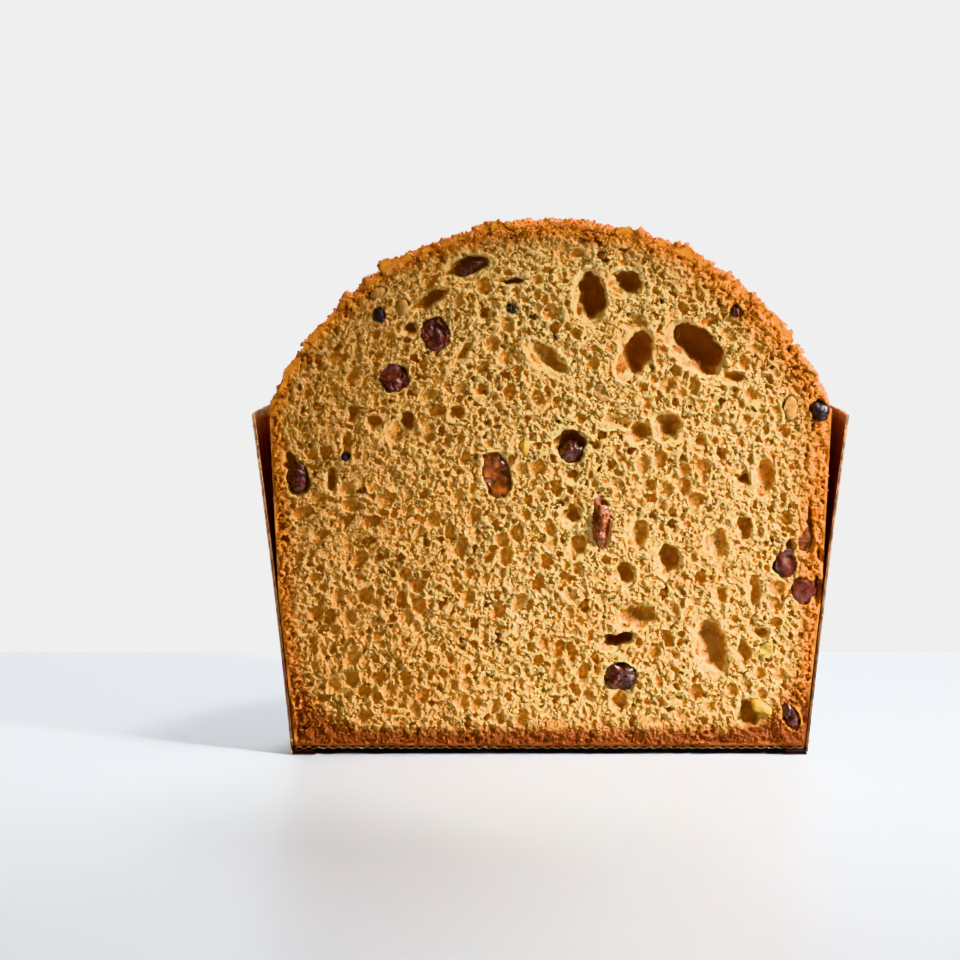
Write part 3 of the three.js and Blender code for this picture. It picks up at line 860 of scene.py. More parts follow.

# %% [markdown]
# Crumb and crust are one material, as they are one dough: what changes is how much each place
# was baked, and whether it is a torn ridge or the inside of a cell. The insides of cells, pits
# and deep holes are painted darker and more golden than the ridges: painted shade and painted
# bounce light, standing for light that grows more golden each time it bounces about in a cell.

# %% Baked dough
def baked_dough():
    material, tree, shader = new_material("baked_dough")
    stands_out = point_value(tree, "stands_out")
    sunk = point_value(tree, "sunk")
    under = point_value(tree, "under_crust")
    plate = point_value(tree, "plate")
    # Crumb: pale on torn ridges; cells, pits and deep holes get painted shade, golden and deeper in colour
    # far in.
    ridge = blend_colours(tree, speckle(tree, 22), linear(254, 226, 162), linear(244, 200, 120))
    cell = blend_colours(tree, speckle(tree, 9), linear(228, 164, 82), linear(208, 136, 54))
    painted_pit_shade = blend_colours(tree, speckle(tree, 9), linear(186, 108, 44), linear(152, 80, 28))
    deep = blend_colours(tree, speckle(tree, 12), linear(164, 94, 42), linear(118, 60, 27))
    crumb = blend_colours(tree, soft_range(tree, stands_out, 0.35, -0.4), ridge, cell)
    crumb = blend_colours(tree, soft_range(tree, stands_out, -0.5, -1.5), crumb, painted_pit_shade)
    crumb = blend_colours(tree, soft_range(tree, sunk, 1.8, 6.0), crumb, deep)
    syrup = soft_range(tree, speckle(tree, 14, 1.6), 0.62, 0.95, 0.0, 0.45)
    crumb = blend_colours(tree, syrup, crumb, linear(236, 148, 62))
    # Crust at the cut, and the darker skin of the dome a little behind it.
    crust_high = blend_colours(tree, speckle(tree, 2, 1.8), linear(252, 178, 82), linear(220, 124, 44))
    crust_low = blend_colours(tree, speckle(tree, 3), linear(154, 80, 32), linear(108, 48, 20))
    skin_high = blend_colours(tree, speckle(tree, 1.1, 2.4, 4.0), linear(222, 150, 88), linear(160, 82, 38))
    skin_low = blend_colours(tree, speckle(tree, 3), linear(112, 42, 16), linear(66, 20, 8))
    place = add_node(tree, "ShaderNodeTexCoord").outputs["Object"]
    place = add_node(tree, "ShaderNodeSeparateXYZ", None, {"Vector": place}).outputs
    behind = soft_range(tree, place["Y"], CUT_Y + 0.002, CUT_Y + 0.016)
    skin = maths(tree, "MULTIPLY", soft_range(tree, under, 0.5, 0.0), behind)
    crust_high = blend_colours(tree, skin, crust_high, skin_high)
    crust_low = blend_colours(tree, skin, crust_low, skin_low)
    # Lighter on plates and high places, darker in cracks and low places: partly the glaze's own colour,
    # partly painted shade in the cracks and painted highlight on the tips.
    high = soft_range(tree, maths(tree, "ADD", plate, maths(tree, "MULTIPLY", stands_out, 1.2)), -0.1, 1.1)
    crust = blend_colours(tree, high, crust_low, crust_high)
    # The crumb browns toward the crust, by an uneven depth; it also darkens a little to the left, a painted
    # shade where the light falls off.
    uneven = maths(tree, "MULTIPLY", speckle(tree, 4, 1.0, 3.0), 5.0)
    depth_mm = maths(tree, "SUBTRACT", maths(tree, "ADD", under, uneven), 2.5)
    browning_and_painted_shade = soft_range(tree, depth_mm, 3.0, 11.0, 0.7, 0.0)
    browning_and_painted_shade = maths(tree, "MAXIMUM", browning_and_painted_shade, soft_range(tree, place["X"], 0.01, -0.08, 0.0, 0.55))
    crumb = blend_colours(tree, browning_and_painted_shade, crumb, linear(198, 130, 60))
    raw = soft_range(tree, depth_mm, 2.2, 6.6)
    tree.links.new(blend_colours(tree, raw, crust, crumb), shader.inputs["Base Color"])
    tree.links.new(soft_range(tree, raw, 0.0, 1.0, 0.6, 0.4), shader.inputs["Roughness"])
    shader.inputs["Specular IOR Level"].default_value = 0.3
    shader.inputs["Subsurface Weight"].default_value = 0.25
    shader.inputs["Subsurface Radius"].default_value = (1.0, 0.6, 0.25)
    shader.inputs["Subsurface Scale"].default_value = 0.0006
    crumbly = maths(tree, "MULTIPLY", maths(tree, "MULTIPLY", speckle(tree, 1.2, 1.8, 5.0), 5.0), skin)
    bumped(tree, shader, maths(tree, "ADD", speckle(tree, 0.5, 1.0, 3.0), crumbly), 0.25, 0.8)
    return material


dough_material = baked_dough()
for piece in crumb_pieces + crust_pieces:
    piece.data.materials.append(dough_material)
    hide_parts("loaf")
    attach(piece, BODY)
print("dressed", len(crumb_pieces + crust_pieces), "pieces of the loaf")

# %% [markdown]
# The fruit was soaked, folded into the dough and then baked, so it is wrinkled, sticky and
# darker outside than in. Each piece starts from its own solid: rays go out from its middle
# to the solid's surface, which gives a fine mesh of the same form. Then it is wrinkled, and
# where the knife went through it, its front is levelled to show flesh.

# %% Kinds of fruit and nut
def fruit_look(uneven, wrinkle, wrinkle_size, fine, ragged, sunk):
    """How a kind of fruit departs from its smooth solid."""
    return {"uneven": uneven, "wrinkle": wrinkle, "wrinkle_size": wrinkle_size,
            "fine": fine, "ragged": ragged, "sunk": sunk}


FRUIT_LOOK = {
    "raisin": fruit_look(uneven=0.36, wrinkle=0.7, wrinkle_size=2.6, fine=0.2, ragged=0.3, sunk=0.1),
    "almond": fruit_look(uneven=0.12, wrinkle=0.14, wrinkle_size=3.0, fine=0.05, ragged=0.0, sunk=0.0),
    "orange_peel": fruit_look(uneven=0.35, wrinkle=0.6, wrinkle_size=3.0, fine=0.3, ragged=1.4, sunk=1.3),
    "fruit_strip": fruit_look(uneven=0.7, wrinkle=1.0, wrinkle_size=1.6, fine=1.4, ragged=4.4, sunk=0.9),
    "citron": fruit_look(uneven=0.4, wrinkle=0.3, wrinkle_size=2.0, fine=0.16, ragged=0.8, sunk=0.0),
}
CUT_THROUGH = ("raisin_03", "raisin_04", "raisin_09", "raisin_10", "orange_peel_01",
               "orange_peel_02", "almond_02", "almond_03", "citron_01")


def kind_of(node):
    return node.rstrip("0123456789").rstrip("_")


print("kinds", sorted({kind_of(node) for node in fruit_nodes}))

# %% [markdown]
# One function makes them all. Its numbers differ from kind to kind: an almond stays smooth, a
# raisin is furrowed, and a strip of peel is torn at its edges.

# %% Shapes of fruit and nut
def fruit_mesh(node, salt):
    """A fine mesh of a fruit's form, in the loaf's frame, with its wrinkles and flesh."""
    look = FRUIT_LOOK[kind_of(node)]
    centre, half, _ = fruit_place(node)
    # Rays from the middle find the solid's form on a fine ball, which is then evened out.
    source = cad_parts[node]
    corners = [source.matrix_world @ v.co for v in source.data.vertices]
    solid = BVHTree.FromPolygons(corners, [tuple(p.vertices) for p in source.data.polygons])
    ball = bmesh.new()
    bmesh.ops.create_icosphere(ball, subdivisions=5 if half.max() > 5.0 else 4, radius=1.0)
    out = np.array([v.co for v in ball.verts])
    faces = np.array([[v.index for v in f.verts] for f in ball.faces])
    edges = np.array([[v.index for v in e.verts] for e in ball.edges])
    ball.free()
    middle = Vector(metres(centre))
    reach = np.array([solid.ray_cast(middle, Vector(o))[3] or half.min() * MM for o in out]) / MM
    count = np.bincount(edges.ravel(), minlength=len(out))
    for _ in range(6):
        total = np.bincount(edges[:, 0], reach[edges[:, 1]], len(out))
        total += np.bincount(edges[:, 1], reach[edges[:, 0]], len(out))
        reach = 0.5 * reach + 0.5 * total / count
    points = centre + out * reach[:, None]
    # The knife levels the front of what it met, and widens it to a flat face.
    level = 0.4 + look["sunk"]
    if node not in CUT_THROUGH:
        points[:, 1] += look["sunk"]
    if node in CUT_THROUGH:
        flat = np.maximum(np.hypot(out[:, 0], out[:, 2]), 1e-6)
        widen = np.where(out[:, 1] < 0.0, np.minimum(1.0, 1.8 * flat) / flat, 1.0)
        toward = np.minimum(1.0, -2.4 * out[:, 1])
        points[:, [0, 2]] = centre[[0, 2]] + (points[:, [0, 2]] - centre[[0, 2]]) * widen[:, None]
        levelled = centre[1] + (level - 0.4 - centre[1]) * toward
        points[:, 1] = np.where(out[:, 1] < 0.0, levelled, points[:, 1])
    # Drying leaves soft lumps, then furrows and a fine grain.
    points += out * (look["uneven"] * half.min() * lumps(points, 3.4, salt + 7))[:, None]
    pushed = warped(points, 0.8, look["wrinkle_size"], salt)
    furrow = 1.0 - np.abs(lumps(pushed, look["wrinkle_size"], salt + 2)) * 2.6
    furrow = np.clip(furrow, 0.0, 1.0) ** 1.5
    relief = -look["wrinkle"] * furrow + 0.12 * look["wrinkle"]
    relief += look["fine"] * lumps(points, 0.8, salt + 3) + look["ragged"] * lumps(points, 2.4, salt + 4)
    relief = np.clip(relief, -0.45 * half.min(), 0.25 + 0.2 * look["ragged"])
    points = points + out * relief[:, None]
    flesh = np.zeros(len(points))
    if node in CUT_THROUGH:
        rough_cut = level + 0.4 * lumps(points, 1.0, salt + 5) + 0.9 * lumps(points, 3.0, salt + 6)
        rough_cut += 0.6 * furrow
        flesh = rise(0.1, -0.25, points[:, 1] - rough_cut)
        points[:, 1] = np.maximum(points[:, 1], rough_cut)
    return points, faces, {"flesh": flesh, "furrow": furrow}


fruit_pieces = {}
for number, node in enumerate(fruit_nodes):
    points, faces, attributes = fruit_mesh(node, 100 + 7 * number)
    fruit_pieces[node] = mesh_from_arrays(node + "_fruit", points, faces, None, attributes)
fruit_triangles = sum(len(piece.data.polygons) for piece in fruit_pieces.values())
print(len(fruit_pieces), "pieces of fruit and nut,", fruit_triangles, "triangles,",
      round(time.time() - started, 1), "s")

# %% [markdown]
# Raisins are dark plum-brown and wet looking, with redder flesh; candied peel is amber and
# lets light in; almonds are pale and dull. A few raisins near the crust are burnt to blue-black.

# %% Finishes of fruit and nut
def fruit_material(name, skin, skin_two, flesh, flesh_two, roughness, coat, glow, glow_radius):
    material, tree, shader = new_material(name)
    outside_colour = blend_colours(tree, speckle(tree, 2.5, 2.2), linear(*skin), linear(*skin_two))
    inside_colour = blend_colours(tree, speckle(tree, 0.9, 2.6, 3.0), linear(*flesh), linear(*flesh_two))
    colour = blend_colours(tree, point_value(tree, "flesh"), outside_colour, inside_colour)
    # Furrows are blended toward black: painted shade in the creases.
    dark = blend_colours(tree, 0.55, colour, (0.0, 0.0, 0.0, 1.0))
    furrowed = maths(tree, "MULTIPLY", point_value(tree, "furrow"), 0.6)
    tree.links.new(blend_colours(tree, furrowed, colour, dark), shader.inputs["Base Color"])
    tree.links.new(soft_range(tree, speckle(tree, 1.4, 2.0), 0.2, 0.8, roughness, roughness + 0.25),
                   shader.inputs["Roughness"])
    shader.inputs["Coat Weight"].default_value = coat
    shader.inputs["Coat Roughness"].default_value = 0.12
    shader.inputs["Subsurface Weight"].default_value = glow
    shader.inputs["Subsurface Radius"].default_value = glow_radius
    shader.inputs["Subsurface Scale"].default_value = 0.002
    bumped(tree, shader, speckle(tree, 0.45, 1.0, 3.0), 0.18, 0.5)
    return material


RED_GLOW = (1.0, 0.3, 0.15)
AMBER_GLOW = (1.0, 0.5, 0.15)
fruit_finish = {
    "raisin": fruit_material("raisin", (90, 30, 17), (50, 14, 9), (122, 50, 26), (66, 21, 12),
                             0.26, 0.45, 0.12, RED_GLOW),
    "burnt": fruit_material("burnt_raisin", (30, 24, 32), (46, 30, 38), (56, 28, 28), (38, 19, 19),
                            0.36, 0.3, 0.0, RED_GLOW),
    "almond": fruit_material("almond", (206, 156, 90), (184, 128, 66), (228, 184, 114), (208, 156, 86),
                             0.45, 0.0, 0.2, AMBER_GLOW),
    "orange_peel": fruit_material("orange_peel", (196, 108, 34), (140, 66, 26), (150, 82, 36), (84, 40, 24),
                                  0.25, 0.4, 0.3, AMBER_GLOW),
    "fruit_strip": fruit_material("fruit_strip", (186, 98, 50), (80, 30, 16), (190, 96, 50), (150, 60, 30),
                                  0.3, 0.4, 0.2, RED_GLOW),
    "citron": fruit_material("citron", (244, 206, 96), (236, 182, 66), (250, 222, 130), (240, 196, 90),
                             0.3, 0.2, 0.35, AMBER_GLOW),
}
BURNT = ("raisin_02", "raisin_05", "raisin_08", "raisin_13")
for node, piece in fruit_pieces.items():
    kind = kind_of(node)
    piece.data.materials.append(fruit_finish["burnt" if node in BURNT else kind])
    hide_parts(node)
    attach(piece, BODY)
print("finishes", sorted(fruit_finish))

# %% [markdown]
# The case is double paper: a stiff outer sheet and a fluted one within, like the wall of a
# cardboard box, which lets the loaf breathe as it bakes. A flute is a sine wave round the
# wall, so the sheets are grown by Geometry Nodes from a flat grid: each point's place on the
# grid becomes an angle and a height, and the wave is added to the radius. The knife cut
# the case with the loaf, which left pale, ragged edges. The first helpers open a tree with
# named inputs, close it, and turn its result into a plain mesh.

# %% Helpers for Geometry Nodes
def new_tree(name, sockets):
    """A Geometry Nodes tree with named inputs, and its input and output nodes."""
    tree = bpy.data.node_groups.new(name, "GeometryNodeTree")
    kinds = {float: "NodeSocketFloat", int: "NodeSocketInt"}
    for key, value in sockets.items():
        if value is bpy.types.Material:
            tree.interface.new_socket(key, in_out="INPUT", socket_type="NodeSocketMaterial")
        elif value is bpy.types.Mesh:
            tree.interface.new_socket(key, in_out="INPUT", socket_type="NodeSocketGeometry")
        else:
            socket = tree.interface.new_socket(key, in_out="INPUT", socket_type=kinds[type(value)])
            socket.default_value = value
    tree.interface.new_socket("Geometry", in_out="OUTPUT", socket_type="NodeSocketGeometry")
    return tree, tree.nodes.new("NodeGroupInput").outputs, tree.nodes.new("NodeGroupOutput").inputs


def close_tree(tree, geometry, material, result):
    """Ends a tree in Realize Instances and Set Material, because exported files hold plain meshes."""
    real = add_node(tree, "GeometryNodeRealizeInstances", None, {"Geometry": geometry}).outputs["Geometry"]
    done = add_node(tree, "GeometryNodeSetMaterial", None, {"Geometry": real, "Material": material})
    tree.links.new(done.outputs["Geometry"], result["Geometry"])


def grown(name, tree, values, base=None):
    """Runs a tree and gives its result as a plain mesh object."""
    holder = bpy.data.objects.new(name + "_holder", base or bpy.data.meshes.new(name + "_base"))
    bpy.context.scene.collection.objects.link(holder)
    modifier = holder.modifiers.new("grow", "NODES")
    modifier.node_group = tree
    for item in tree.interface.items_tree:
        if item.in_out == "INPUT" and item.name in values:
            modifier[item.identifier] = values[item.name]
    graph = bpy.context.evaluated_depsgraph_get()
    mesh = bpy.data.meshes.new_from_object(holder.evaluated_get(graph), depsgraph=graph)
    holder.modifiers.remove(modifier)
    bpy.data.objects.remove(holder)
    mesh.shade_smooth()
    mesh.set_sharp_from_angle(angle=math.radians(55.0))
    piece = bpy.data.objects.new(name, mesh)
    bpy.context.scene.collection.objects.link(piece)
    return piece


def grid_places(tree, columns, rows):
    """A flat grid, with each point's place across and up it from 0 to 1."""
    grid = add_node(tree, "GeometryNodeMeshGrid", None, {
        "Size X": 1.0, "Size Y": 1.0, "Vertices X": columns, "Vertices Y": rows})
    place = add_node(tree, "ShaderNodeSeparateXYZ", None, {
        "Vector": add_node(tree, "GeometryNodeInputPosition").outputs["Position"]})
    across = maths(tree, "ADD", place.outputs["X"], 0.5)
    up = maths(tree, "ADD", place.outputs["Y"], 0.5)
    return grid.outputs["Mesh"], across, up


def noise_at(tree, vector, size):
    """Noise from -0.5 to 0.5 at a place, with lumps of one size in metres."""
    noise = add_node(tree, "ShaderNodeTexNoise", None, {
        "Vector": vector, "Scale": maths(tree, "DIVIDE", 1.0, size), "Detail": 2.0})
    return maths(tree, "SUBTRACT", noise.outputs["Fac"], 0.5)


print("the case is", CASE_HEIGHT, "mm tall and", CASE_WALL, "mm thick")

# %% [markdown]
# A sheet of paper is the grid with its points moved to their places. Paper has two sides, so
# the sheet is extruded by its thickness and the first side is turned round and joined on.
# The edge that the knife cut, and the rim, are marked for the paper's material.

# %% Wall of the case
def placed_sheet(tree, grid, x, y, z, edge_distance, thickness):
    """Moves the grid's points to their places, marks the cut edge and gives the sheet a thickness."""
    place = add_node(tree, "ShaderNodeCombineXYZ", None, {"X": x, "Y": y, "Z": z}).outputs["Vector"]
    marked = add_node(tree, "GeometryNodeStoreNamedAttribute", {"data_type": "FLOAT", "domain": "POINT"}, {
        "Geometry": grid, "Name": "cut_edge",
        "Value": soft_range(tree, edge_distance, 0.0011, 0.0002)}).outputs["Geometry"]
    sheet = add_node(tree, "GeometryNodeSetPosition", None, {
        "Geometry": marked, "Position": place}).outputs["Geometry"]
    back = add_node(tree, "GeometryNodeExtrudeMesh", {"mode": "FACES"}, {
        "Mesh": sheet, "Offset Scale": thickness, "Individual": False}).outputs["Mesh"]
    front = add_node(tree, "GeometryNodeFlipFaces", None, {"Mesh": sheet}).outputs["Mesh"]
    both = add_node(tree, "GeometryNodeJoinGeometry")
    tree.links.new(back, both.inputs["Geometry"])
    tree.links.new(front, both.inputs["Geometry"])
    return add_node(tree, "GeometryNodeMergeByDistance", None, {
        "Geometry": both.outputs["Geometry"], "Distance": 1e-6}).outputs["Geometry"]


def wall_sheet_tree():
    tree, given, result = new_tree("wall_sheet", {
        "Foot radius": 0.085, "Height": 0.1135, "Bottom": 0.001, "Flare": 0.09, "Flare growth": 0.16,
        "Inset": 0.0, "Flutes": 90.0, "Flute height": 0.0, "Thickness": 0.0003, "Ragged": 0.0006,
        "Cut": 0.0, "Columns": 300, "Rows": 50, "Material": bpy.types.Material})
    grid, across, up = grid_places(tree, given["Columns"], given["Rows"])
    angle = maths(tree, "MULTIPLY", across, math.pi)
    cos, sin = maths(tree, "COSINE", angle), maths(tree, "SINE", angle)
    rim_place = add_node(tree, "ShaderNodeCombineXYZ", None, {"X": cos, "Y": sin}).outputs["Vector"]
    rim_drop = maths(tree, "MULTIPLY", maths(tree, "ADD", noise_at(tree, rim_place, 0.12), 0.3), 0.0022)
    top = maths(tree, "SUBTRACT", given["Height"], maths(tree, "MAXIMUM", rim_drop, 0.0))
    z = maths(tree, "MULTIPLY", up, maths(tree, "SUBTRACT", top, given["Bottom"]))
    z = maths(tree, "ADD", given["Bottom"], z)
    lean = maths(tree, "ADD", given["Flare"], maths(tree, "MULTIPLY", z, given["Flare growth"]))
    wave = maths(tree, "SINE", maths(tree, "MULTIPLY", angle, given["Flutes"]))
    wave = maths(tree, "MULTIPLY", wave, given["Flute height"])
    radius = maths(tree, "ADD", given["Foot radius"], maths(tree, "MULTIPLY", z, lean))
    radius = maths(tree, "SUBTRACT", maths(tree, "ADD", radius, wave), given["Inset"])
    to_side = maths(tree, "MULTIPLY", maths(tree, "MINIMUM", across, maths(tree, "SUBTRACT", 1.0, across)),
                    maths(tree, "MULTIPLY", radius, math.pi))
    x, flat_y = maths(tree, "MULTIPLY", radius, cos), maths(tree, "MULTIPLY", radius, sin)
    smooth_place = add_node(tree, "ShaderNodeCombineXYZ", None, {
        "X": x, "Y": flat_y, "Z": z}).outputs["Vector"]
    torn_edge = maths(tree, "ADD", noise_at(tree, smooth_place, 0.0016), 0.25)
    torn_edge = maths(tree, "MULTIPLY", torn_edge, given["Ragged"])
    torn_edge = maths(tree, "MULTIPLY", torn_edge, soft_range(tree, to_side, 0.002, 0.0))
    y = maths(tree, "ADD", maths(tree, "ADD", flat_y, torn_edge), given["Cut"])
    to_rim = maths(tree, "ADD", maths(tree, "SUBTRACT", top, z), 0.0004)
    sheet = placed_sheet(tree, grid, x, y, z, maths(tree, "MINIMUM", to_side, to_rim), given["Thickness"])
    close_tree(tree, sheet, given["Material"], result)
    return tree


wall_tree = wall_sheet_tree()
print("the wall's tree has", len(wall_tree.nodes), "nodes")

# %% [markdown]
# The floor is a waved half disc: each row of the grid reaches as far back as the half circle
# allows. Two flat folds of paper run round the foot, each a strip swept along an arc.

# %% Floor and foot of the case
def floor_sheet_tree():
    tree, given, result = new_tree("floor_sheet", {
        "Radius": 0.084, "Height": 0.00225, "Wave length": 0.0032, "Wave height": 0.00028,
        "Thickness": 0.00022, "Cut": 0.0, "Columns": 620, "Rows": 20, "Material": bpy.types.Material})
    grid, across, back = grid_places(tree, given["Columns"], given["Rows"])
    x = maths(tree, "MULTIPLY", maths(tree, "SUBTRACT", maths(tree, "MULTIPLY", across, 2.0), 1.0),
              maths(tree, "MULTIPLY", given["Radius"], 0.9995))
    radius_squared = maths(tree, "MULTIPLY", given["Radius"], given["Radius"])
    chord = maths(tree, "SQRT", maths(tree, "SUBTRACT", radius_squared, maths(tree, "MULTIPLY", x, x)))
    deep = maths(tree, "MULTIPLY", chord, back)
    turn = maths(tree, "MULTIPLY", maths(tree, "DIVIDE", x, given["Wave length"]), 2.0 * math.pi)
    wave = maths(tree, "MULTIPLY", maths(tree, "SINE", turn), given["Wave height"])
    z = maths(tree, "ADD", given["Height"], wave)
    y = maths(tree, "ADD", deep, given["Cut"])
    sheet = placed_sheet(tree, grid, x, y, z, deep, given["Thickness"])
    close_tree(tree, sheet, given["Material"], result)
    return tree


def foot_fold_tree():
    """A flat strip of paper swept round the foot."""
    tree, given, result = new_tree("foot_fold", {
        "Radius": 0.081, "Width": 0.008, "Thickness": 0.0005, "Height": 0.0003, "Cut": 0.0,
        "Material": bpy.types.Material})
    arc = add_node(tree, "GeometryNodeCurveArc", None, {
        "Resolution": 160, "Radius": given["Radius"], "Start Angle": 0.0,
        "Sweep Angle": math.pi}).outputs["Curve"]
    strip = add_node(tree, "GeometryNodeCurvePrimitiveQuadrilateral", None, {
        "Width": given["Width"], "Height": given["Thickness"]}).outputs["Curve"]
    swept = add_node(tree, "GeometryNodeCurveToMesh", None, {
        "Curve": arc, "Profile Curve": strip, "Fill Caps": True}).outputs["Mesh"]
    shift = add_node(tree, "ShaderNodeCombineXYZ", None, {
        "X": 0.0, "Y": given["Cut"], "Z": given["Height"]})
    moved = add_node(tree, "GeometryNodeSetPosition", None, {
        "Geometry": swept, "Offset": shift.outputs["Vector"]})
    close_tree(tree, moved.outputs["Geometry"], given["Material"], result)
    return tree


floor_tree, fold_tree = floor_sheet_tree(), foot_fold_tree()
print("floor and fold trees have", len(floor_tree.nodes), "and", len(fold_tree.nodes), "nodes")

# %% [markdown]
# The paper is two browns softly mixed, with pale fibres where it was cut, upright pale streaks of
# painted light under the rim, and painted shade in its lowest few millimetres by the table. The
# fluted sheet touches the loaf and took up its butter, so it is redder and glossier than the outer one.

# %% Paper
def case_paper(name, first, second, roughness, glow):
    material, tree, shader = new_material(name)
    brown = blend_colours(tree, speckle(tree, 6, 1.4), linear(*first), linear(*second))
    fibres = blend_colours(tree, speckle(tree, 0.8, 2.5, 3.0), linear(226, 192, 150), linear(188, 138, 104))
    place = add_node(tree, "ShaderNodeTexCoord").outputs["Object"]
    height = add_node(tree, "ShaderNodeSeparateXYZ", None, {"Vector": place}).outputs["Z"]
    drawn_out = add_node(tree, "ShaderNodeVectorMath", {"operation": "MULTIPLY"}, {
        0: place, 1: (800.0, 800.0, 50.0)}).outputs["Vector"]
    streaks = add_node(tree, "ShaderNodeTexNoise", None, {"Vector": drawn_out, "Scale": 1.0}).outputs["Fac"]
    # Painted light: pale upright streaks that grow toward the rim.
    painted_light_streaks = maths(tree, "MULTIPLY", soft_range(tree, streaks, 0.38, 0.62),
                   soft_range(tree, height, 0.096, 0.113, 0.0, 0.42))
    brown = blend_colours(tree, painted_light_streaks, brown, linear(196, 156, 128))
    # Painted shade: the paper darkens toward near black in its lowest four millimetres, by the table.
    brown = blend_colours(tree, soft_range(tree, height, 0.004, 0.0005, 0.0, 0.85), brown, linear(30, 9, 6))
    # The pale cut edge is patchy and fainter towards the bottom.
    patchy_edge_fading_down = maths(tree, "MULTIPLY", soft_range(tree, speckle(tree, 2.2, 2.5, 3.0), 0.25, 0.6, 0.35, 1.0),
                 soft_range(tree, height, 0.02, 0.1, 0.4, 1.0))
    pale = maths(tree, "MULTIPLY", point_value(tree, "cut_edge"), patchy_edge_fading_down)
    tree.links.new(blend_colours(tree, pale, brown, fibres), shader.inputs["Base Color"])
    tree.links.new(soft_range(tree, pale, 0.0, 1.0, roughness, 0.85), shader.inputs["Roughness"])
    shader.inputs["Subsurface Weight"].default_value = glow
    shader.inputs["Subsurface Radius"].default_value = (1.0, 0.3, 0.2)
    shader.inputs["Subsurface Scale"].default_value = 0.0008
    bumped(tree, shader, speckle(tree, 0.6, 1.5, 4.0), 0.08, 0.6)
    return material


paper_material = case_paper("case_paper", (82, 40, 35), (64, 28, 25), 0.42, 0.1)
lining_material = case_paper("case_lining", (136, 34, 20), (104, 20, 12), 0.3, 0.2)
print("papers", paper_material.name, "and", lining_material.name)

# %% [markdown]
# The trees now grow the five parts of the case. Both sheets of the wall come from one tree,
# with their own number of flutes, height of wave and distance from the outside.

# %% Parts of the case
shared = {"Foot radius": CASE_FOOT_RADIUS * MM, "Height": CASE_HEIGHT * MM, "Flare": CASE_FLARE,
          "Flare growth": CASE_FLARE_GROWTH / MM, "Cut": CUT_Y, "Material": paper_material}
outer_sheet = grown("case_outer_sheet", wall_tree, {
    **shared, "Inset": 0.00045, "Thickness": 0.00042, "Flutes": 90.0, "Flute height": 0.00004,
    "Columns": 420, "Rows": 60})
fluted_sheet = grown("case_fluted_sheet", wall_tree, {
    **shared, "Inset": 0.00086, "Bottom": 0.0028, "Flutes": 94.0, "Flute height": 0.00014,
    "Thickness": 0.00026, "Columns": 1130, "Rows": 34, "Ragged": 0.0012, "Material": lining_material})
floor_sheet = grown("case_floor", floor_tree, {"Radius": 0.0838, "Cut": CUT_Y, "Material": paper_material})
low_fold = grown("case_foot_low", fold_tree, {
    "Radius": 0.0808, "Width": 0.0078, "Height": 0.0004, "Cut": CUT_Y, "Material": paper_material})
high_fold = grown("case_foot_high", fold_tree, {
    "Radius": 0.0812, "Width": 0.0068, "Height": 0.0014, "Cut": CUT_Y, "Material": paper_material})
case_pieces = [outer_sheet, fluted_sheet, floor_sheet, low_fold, high_fold]
for piece in case_pieces:
    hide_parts("paper_case")
    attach(piece, BODY)
    print(piece.name, len(piece.data.polygons), "faces", round(time.time() - started, 1), "s")

# %% [markdown]
# A cut loaf sheds. Grains of baked glaze sit along the crust's edge and all over its plates,
# and crumbs cling to the paper that the knife went through. Geometry Nodes puts a lumpy
# grain, of its own size and turn, on each of the places that it is given.

# %% A grain on each place
def grain_tree():
    tree, given, result = new_tree("grains", {
        "Places": bpy.types.Mesh, "Size": 0.0006, "Smallest share": 0.3, "Seed": 4, "Roundness": 1,
        "Material": bpy.types.Material})
    ball = add_node(tree, "GeometryNodeMeshIcoSphere", None, {
        "Radius": 1.0, "Subdivisions": given["Roundness"]}).outputs["Mesh"]
    place = add_node(tree, "GeometryNodeInputPosition").outputs["Position"]
    lumpy = maths(tree, "MULTIPLY", noise_at(tree, place, 0.7), 1.5)
    push = add_node(tree, "ShaderNodeVectorMath", {"operation": "SCALE"}, {
        0: place, "Scale": lumpy}).outputs["Vector"]
    grain = add_node(tree, "GeometryNodeSetPosition", None, {
        "Geometry": ball, "Offset": push}).outputs["Geometry"]
    turn = add_node(tree, "FunctionNodeRandomValue", {"data_type": "FLOAT_VECTOR"}, {
        0: (0.0, 0.0, 0.0), 1: (6.28, 6.28, 6.28), "Seed": given["Seed"]}).outputs[0]
    stretch = add_node(tree, "FunctionNodeRandomValue", {"data_type": "FLOAT_VECTOR"}, {
        0: (0.7, 0.5, 0.7), 1: (1.3, 1.0, 1.3), "Seed": given["Seed"]}).outputs[0]
    share = add_node(tree, "FunctionNodeRandomValue", {"data_type": "FLOAT"}, {
        2: 0.0, 3: 1.0, "Seed": given["Seed"]}).outputs[1]
    cubed = maths(tree, "MULTIPLY", maths(tree, "POWER", share, 3.0),
                  maths(tree, "SUBTRACT", 1.0, given["Smallest share"]))
    size = maths(tree, "MULTIPLY", maths(tree, "ADD", cubed, given["Smallest share"]), given["Size"])
    scale = add_node(tree, "ShaderNodeVectorMath", {"operation": "SCALE"}, {
        0: stretch, "Scale": size}).outputs["Vector"]
    spread_out = add_node(tree, "GeometryNodeInstanceOnPoints", None, {
        "Points": given["Places"], "Instance": grain, "Rotation": turn, "Scale": scale})
    close_tree(tree, spread_out.outputs["Instances"], given["Material"], result)
    return tree


grains = grain_tree()
print("the grain tree has", len(grains.nodes), "nodes")

# %% [markdown]
# Where grains lie is chance, but not even chance. The places are drawn from the points of a
# finished piece, so each grain sits on its surface, and a weight says how likely each is.

